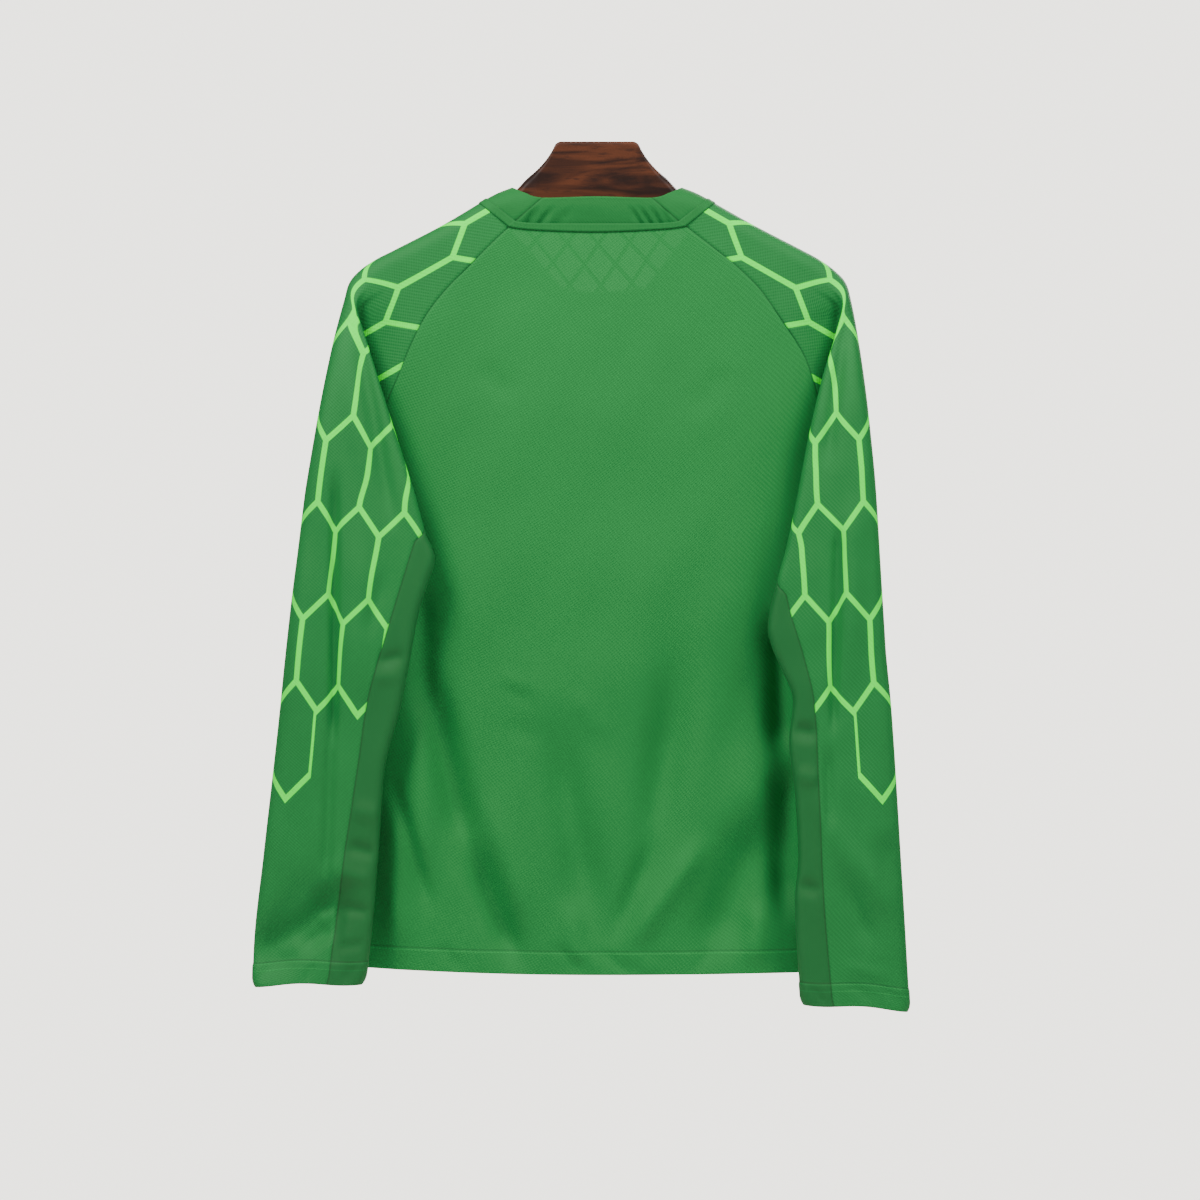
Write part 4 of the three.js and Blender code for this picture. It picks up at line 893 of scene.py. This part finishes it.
def tube_rows(side, up):
    """Dense rows round the sleeve below the underarm, twice round from the outer edge, and the
    distances along them of the panel's two seams and of the outer edge."""
    outer, ridge = read(side["edge"], "outer", up), read(side["edge"], "ridge", up)
    edge, half = read(HANG, "edge", up), read(HANG, "half", up)
    below = up - UNDERARM
    turn = smooth(0, 52, -below)
    turn_soft = 5 * (1 - turn) + 1
    valley = read(side["fold"], "valley", np.full_like(up, UNDERARM))
    point = read(UNDERARM_TURN, "point", below)
    point_out = mix(read(UNDERARM_TURN, "out", below), mix(ridge, outer, 0.5), turn)
    valley_out = mix(valley, mix(ridge, outer, 0.4), turn)
    corners = [
        (outer, edge, 0),
        (outer, edge + half, EDGE_SOFT),
        (point_out, point, turn_soft),
        (valley_out, read(UNDERARM_TURN, "valley", below), turn_soft),
        (ridge, read(HANG, "ridge_back", up), RIDGE_SOFT),
        (ridge, read(HANG, "ridge_face", up), RIDGE_SOFT),
        (outer, edge - half, EDGE_SOFT),
        (outer, edge, 0),
    ]
    path = rounded(
        np.stack([np.stack([out, y, up], -1) for out, y, _ in corners], 1),
        np.stack([soft + 0 * up for _, _, soft in corners], 1),
    )
    length = lengths(path)
    outs = path[..., 0]
    at_point = np.linalg.norm(path - np.stack([point_out, point, up], -1)[:, None], axis=2).argmin(1)
    at_ridge = outs.argmin(1)
    shows = side["panel"]["up"][0]
    reach = np.clip((UNDERARM - up) / (UNDERARM - shows), 0, 1)
    seam = np.maximum(read(side["panel"], "seam", up), outs.min(1) + 0.3)
    rear = crossing(outs, length, read(side["panel"], "hidden", up), 0 * at_ridge, at_ridge)
    face = crossing(outs, length, seam, at_ridge, 0 * at_ridge + outs.shape[1] - 1)
    to_point, to_ridge = pick(length, at_point), pick(length, at_ridge)
    to_rear = mix(to_point, rear, reach)
    started = smooth(0, 22, shows - up)
    to_face = np.where(reach < 1, mix(to_point, to_ridge, reach), mix(to_ridge, face, started))
    return np.concatenate([path, path[:, 1:]], axis=1), to_rear, to_face, length[:, -1]


def press(piece, side):
    """Slants and waves the lower part of a grid, rounds the cuff's two corners, and presses folds
    and gentle waves into the face."""
    inner_cuff, outer_cuff = side["cuff"]
    cuff = (inner_cuff + outer_cuff) / 2
    height = np.minimum(piece[..., 2], UNDERARM)
    ridge = read(side["edge"], "ridge", height)
    across = (piece[..., 0] - ridge) / (read(side["edge"], "outer", height) - ridge) - 0.5
    share = smooth(-UNDERARM + 200, -cuff, -height)
    corner = CUFF_CORNER * np.clip(1 - (piece[..., 2] - cuff) / 9, 0, 1) ** 2
    piece[..., 0] -= 2 * across * corner
    piece[..., 2] += share * (across * (outer_cuff - inner_cuff) + CUFF_WAVE * np.sin(7 * across + 1))
    face = smooth(-8, 8, read(HANG, "edge", piece[..., 2]) - piece[..., 1])
    folds = creases(side["creases"], piece[..., 0], piece[..., 2])
    waves = ripple(piece[..., 0], piece[..., 2], 5 + side["sign"], 46, 0.35)
    piece[..., 1] += face * (folds + waves)


def sleeve_uv(rows, middle, shoulder_edge, valley, ridge):
    """Cloth coordinates of a sleeve, across from its outer edge and down from the neck along the
    grain. Before the fold they are level with the shoulder, so that the print runs along it."""
    edge_line = rows[:, middle]
    grain = np.gradient(edge_line, axis=0)
    grain /= np.linalg.norm(grain, axis=1, keepdims=True)
    smoothing = np.hanning(31) / np.hanning(31).sum()
    padded = [np.pad(part, 15, mode="edge") for part in grain.T]
    grain = np.stack([np.convolve(part, smoothing, mode="valid") for part in padded], -1)
    down = np.concatenate([[0], np.cumsum(np.linalg.norm(np.diff(edge_line, axis=0), axis=1))])
    along = lengths(rows)
    across = along - along[:, middle : middle + 1]
    leans = []
    for number in (middle - 40, middle + 24):
        chord = rows[:, number] - edge_line
        leans.append(((chord * grain).sum(1) / np.linalg.norm(chord, axis=1))[:, None])
    lean = np.where(across < 0, *leans)
    aside = across * np.sqrt(1 - np.clip(lean, -0.9, 0.9) ** 2)
    uv = np.stack([aside, down[:, None] + np.abs(across) * lean], -1)
    first = len(SHARES)
    out, drop = rows[:first, :, 0] - NECK_HALF, rows[:first, :, 2] - NECK_UP
    level_across = out * np.sin(SLOPE) + drop * np.cos(SLOPE) - PRINT_SHIFT
    level_down = out * np.cos(SLOPE) - drop * np.sin(SLOPE)
    opened = smooth(FOLD_BEGINS, 0.6, SHARES)[:, None]
    near = mix(0.3 * shoulder_edge[:, None], valley, opened)
    far = mix(shoulder_edge[:, None], ridge, opened)
    past_fold = smooth(0, 1, (along[:first] - near) / np.maximum(far - near, 1))
    past = np.maximum(past_fold, smooth(0.9, 1, SHARES)[:, None])[..., None]
    uv[:first] = mix(np.stack([level_across, level_down], -1), uv[:first], past)
    return uv, down


def sleeve(side):
    """Rows, cloth coordinates and distances from the cuff of a sleeve and of its underarm panel."""
    cuff = sum(side["cuff"]) / 2
    above_cuff = np.array([23, 21, 20, 18, 16, 14, 12, 8, 4.5, 2.2, 1.1, 0.5, 0.2, 0.02])
    up = np.concatenate([np.linspace(UNDERARM, cuff + 26, 135)[1:], cuff + above_cuff])
    shoulder, shoulder_edge, valley, ridge = shoulder_rows(side)
    tube, to_rear, to_face, total = tube_rows(side, up)
    whole = lengths(shoulder)[:, -1]
    rear_shares = np.linspace(0, 1, REAR_COUNT)[None]
    over_face = between_seams(np.zeros(len(SHARES)), shoulder_edge, FACE_COUNT)[:, :-4]
    over_rear = mix(shoulder_edge[:, None], whole[:, None], rear_shares)
    around_face = between_seams(to_face, total, FACE_COUNT)[:, :-4]
    around_rear = total[:, None] + to_rear[:, None] * rear_shares
    rows = np.concatenate([
        spaced(shoulder, np.concatenate([over_face, over_rear], axis=1)),
        spaced(tube, np.concatenate([around_face, around_rear], axis=1)),
    ])
    strip_end = to_rear + np.maximum(to_face - to_rear, 0.8)
    strip = spaced(tube, between_seams(to_rear, strip_end, STRIP_COUNT))
    press(rows, side)
    press(strip, side)
    uv, down = sleeve_uv(rows, FACE_COUNT - 4, shoulder_edge, valley, ridge)
    strip_uv = np.stack([lengths(strip), along_rows(down[len(SHARES) :], STRIP_COUNT)], -1)
    from_cuff = along_rows(np.concatenate([500 + 100 * (1 - SHARES), up - cuff]), rows.shape[1])
    return rows, uv, from_cuff, strip, strip_uv, along_rows(up - cuff, STRIP_COUNT)


def on_side(side, *grids):
    """Grids made for the wearer's right, moved to their own side and still counterclockwise."""
    if side["sign"] > 0:
        return grids
    flipped = [grid[:, ::-1].copy() for grid in grids]
    for grid in flipped:
        if grid.ndim == 3 and grid.shape[2] == 3:
            grid[..., 0] *= -1
    return flipped


sleeves = {}
for word, side in (("left", LEFT), ("right", RIGHT)):
    rows, uv, from_cuff, *strip = on_side(side, *sleeve(side))
    piece = shell(f"sleeve_{word}_cloth", rows, sleeve_knit, inner_knit, uv, hem=from_cuff)
    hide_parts(f"sleeve_{word}")
    sleeves[word] = {"piece": piece, "rows": rows, "strip": strip}


# Underarm panels
# A long strip of darker, smoother knit is let in along the underside of each sleeve, from a point
# at the underarm to the cuff, and shows beside the ridge.
underarm_knit = cloth_material(
    "underarm_knit", (0.0074, 0.115, 0.024), (0.0055, 0.095, 0.0184),
    pitch=1.6, bump=0.1, rough=0.7, sheen=0.05, stitches=CUFF_STITCHES,
)
for word, made in sleeves.items():
    rows, uv, from_cuff = made["strip"]
    piece = shell(f"underarm_{word}_cloth", rows, underarm_knit, underarm_knit, uv, hem=from_cuff)
    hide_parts(f"underarm_{word}")


# Collar
# A doubled band of knit stands round the neck: a short back piece, and a longer front piece that
# comes over both shoulders to slanting seams. Small puckers gather beside those seams.
collar_knit = cloth_material(
    "collar_knit", (0.009, 0.15, 0.028), (0.007, 0.122, 0.022), pitch=2.2, bump=0.2, rough=0.78, sheen=0.1
)
TOP_EDGE = np.array([
    (0, -21.5, -51.6), (51, -21, -52.6), (68, -15, -47.2), (79, 0, -42.6),
    (75, 14, -51.5), (60, 20, -70), (34, 23, -90), (0, 24, -99),
])
mirrored = (TOP_EDGE * (-1, 1, 1))[::-1]
ring_knots = np.concatenate([TOP_EDGE, mirrored[1:]])
back_knots = np.concatenate([mirrored[-3:], TOP_EDGE[1:3]])
COLLAR_BULGE, COLLAR_ROWS = 0.8, 26
BAND = {"thick": 1.8, "top_rim": 0.35}


def collar(neck, top, puckers=()):
    """Rows from the top edge to the neck seam, rounded out a little between them. A pucker has its
    place across, width, depth and lean; it is deepest at the seam and fades upwards."""
    height = np.linspace(0, 1, COLLAR_ROWS)[:, None]
    rows = mix(top[None], neck[None], height[..., None])
    depth = COLLAR_BULGE * np.sin(np.pi * height)
    for x, width, deep, lean in puckers:
        offset = (rows[..., 0] - x - lean * (1 - height) * 20) / width
        depth = depth - deep * np.exp(-offset * offset) * smooth(0.25, 0.8, height) * (rows[..., 1] < 0)
    return rows + outward(rows) * depth[..., None]


neck_length = lengths(back_rows[:1])[:, -1:]
neck_back = spaced(back_rows[:1], neck_length * np.linspace(0, 1, 150)[None])[0]
along_back = lengths(neck_back[None])[0]
top_back = spline(back_knots, 1 + 2 * along_back / along_back[-1])
back_puckers = (
    (-63, 4.5, 2.6, 0.5),
    (-52, 4, 2.0, 0.8),
    (-36, 7, 1.0, 0.9),
    (40, 3.2, 2.2, -0.7),
    (49, 3.2, 2.4, -0.7),
    (58, 3.2, 2.2, -0.6),
    (66, 3, 1.6, -0.4),
    (-8, 16, 0.8, 0),
)
rows = collar(neck_back, top_back, back_puckers)
collar_back = shell("collar_back_cloth", rows, collar_knit, collar_knit, body_uv(rows), **BAND)
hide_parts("collar_back")

# The front piece's neck edge runs over the right sleeve, the front panel and the left sleeve. Its
# top edge meets the ring's knots at the piece's ends, at the shoulders' peaks and at the panels.
parts = [sleeves["right"]["rows"][0], front_rows[0], sleeves["left"]["rows"][0]]
neck_edge = np.concatenate([parts[0], parts[1][1:], parts[2][1:]])
along_edge = lengths(neck_edge[None])[0]
ends = np.cumsum([len(part) - 1 for part in parts])
peaks = [parts[0][:, 0].argmax(), ends[1] + parts[2][:, 0].argmin()]
marks = along_edge[[0, peaks[0], ends[0], ends[1], peaks[1], ends[2]]]
even_edge = np.linspace(0, along_edge[-1], 330)
neck_front = spaced(neck_edge[None], even_edge[None])[0]
top_front = spline(ring_knots, np.interp(even_edge, marks, [1, 3, 4, 10, 11, 13]))
rows = collar(neck_front, top_front)
collar_front = shell("collar_front_cloth", rows, collar_knit, collar_knit, body_uv(rows), **BAND)
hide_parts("collar_front")


# Strip round the neck
# A narrow band of the collar's knit is sewn flat over the neck seam along both its edges, and
# stands a little proud of the panels and sleeves, less so over the shoulders.
round_neck = (back_rows, sleeves["right"]["rows"], front_rows, sleeves["left"]["rows"])
first_rows = np.concatenate([grid[:24, :-1] for grid in round_neck], axis=1)
STRIP_ACROSS = np.array([0.1, 0.5, 1.1, 2.4, 4.3, 6.2, 7.6, 8.2, 8.6])
STRIP_PROUD = np.array([0.7, 1.3, 1.6, 1.7, 1.4, 1.7, 1.6, 1.1, 0.35])
places = np.repeat(STRIP_ACROSS[None], first_rows.shape[1], axis=0)
rows = spaced(first_rows.transpose(1, 0, 2), places).transpose(1, 0, 2)
normal = np.cross(np.gradient(rows, axis=0), np.roll(rows, -3, axis=1) - np.roll(rows, 3, axis=1))
normal /= np.linalg.norm(normal, axis=2, keepdims=True)
at_shoulder = smooth(84, 100, np.abs(rows[..., :1]))
rows = rows + normal * STRIP_PROUD[:, None, None] * (1 - 0.45 * at_shoulder)
uv = np.stack([lengths(rows), along_rows(STRIP_ACROSS, rows.shape[1])], -1)
neck_strip = shell("neck_strip_cloth", rows, collar_knit, collar_knit, uv, thick=0.6, wrap=True)
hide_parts("neck_binding")


# Floor, light and camera
# A plain pale floor far below, a pale surround, and soft round lights from the upper left, the
# upper right and the other side. The camera looks level at the back from far away.
world = bpy.data.worlds.new("studio")
bpy.context.scene.world = world
world.use_nodes = True
tree = world.node_tree
seen, lighting = tree.nodes["Background"], tree.nodes.new("ShaderNodeBackground")
seen.inputs["Color"].default_value = (0.80, 0.782, 0.722, 1)
seen.inputs["Strength"].default_value = 3.75
lighting.inputs["Color"].default_value = (1, 1, 1, 1)
lighting.inputs["Strength"].default_value = 0.24
choose, path = tree.nodes.new("ShaderNodeMixShader"), tree.nodes.new("ShaderNodeLightPath")
tree.links.new(path.outputs["Is Camera Ray"], choose.inputs["Fac"])
tree.links.new(lighting.outputs[0], choose.inputs[1])
tree.links.new(seen.outputs[0], choose.inputs[2])
tree.links.new(choose.outputs[0], tree.nodes["World Output"].inputs["Surface"])

FLOOR_RADIUS, FLOOR_UP = 4.4, -1.35
bpy.ops.mesh.primitive_circle_add(
    vertices=128, radius=FLOOR_RADIUS, fill_type="NGON", location=(0, 0, FLOOR_UP)
)
floor = bpy.context.object
floor.name = "floor"
pale, _, shader = new_material("pale_floor")
shader.inputs["Base Color"].default_value = (0.88, 0.875, 0.85, 1)
shader.inputs["Roughness"].default_value = 0.9
floor.data.materials.append(pale)

MIDDLE = np.array((0, 0, -0.4))
for name, where, wide, power in (
    ("left", (-1.3, -1.35, 1.6), 1.0, 91),
    ("right", (1.3, -1.35, 1.6), 1.0, 74),
    ("back", (0.9, 2.8, 1.0), 1.8, 150),
):
    data = bpy.data.lights.new(name, "AREA")
    data.shape = "DISK"
    data.size = wide
    data.energy = power
    light = bpy.data.objects.new(name, data)
    light.location = where
    aim = MIDDLE - where
    tilt = np.arccos(-aim[2] / np.linalg.norm(aim))
    light.rotation_euler = (tilt, 0, np.arctan2(aim[1], aim[0]) - np.pi / 2)
    bpy.context.collection.objects.link(light)

SENSOR = 36
DISTANCE = 8.0
PICTURE_WIDTH = 1.116
FACE_DEPTH = 0.035
PICTURE_MIDDLE = (0.00279, -0.4278)
camera_data = bpy.data.cameras.new("camera")
camera_data.sensor_width = SENSOR
camera_data.lens = SENSOR * DISTANCE / PICTURE_WIDTH
camera = bpy.data.objects.new("camera", camera_data)
camera.location = (PICTURE_MIDDLE[0], -DISTANCE - FACE_DEPTH, PICTURE_MIDDLE[1])
camera.rotation_euler = (np.pi / 2, 0, 0)
bpy.context.collection.objects.link(camera)
bpy.context.scene.camera = camera
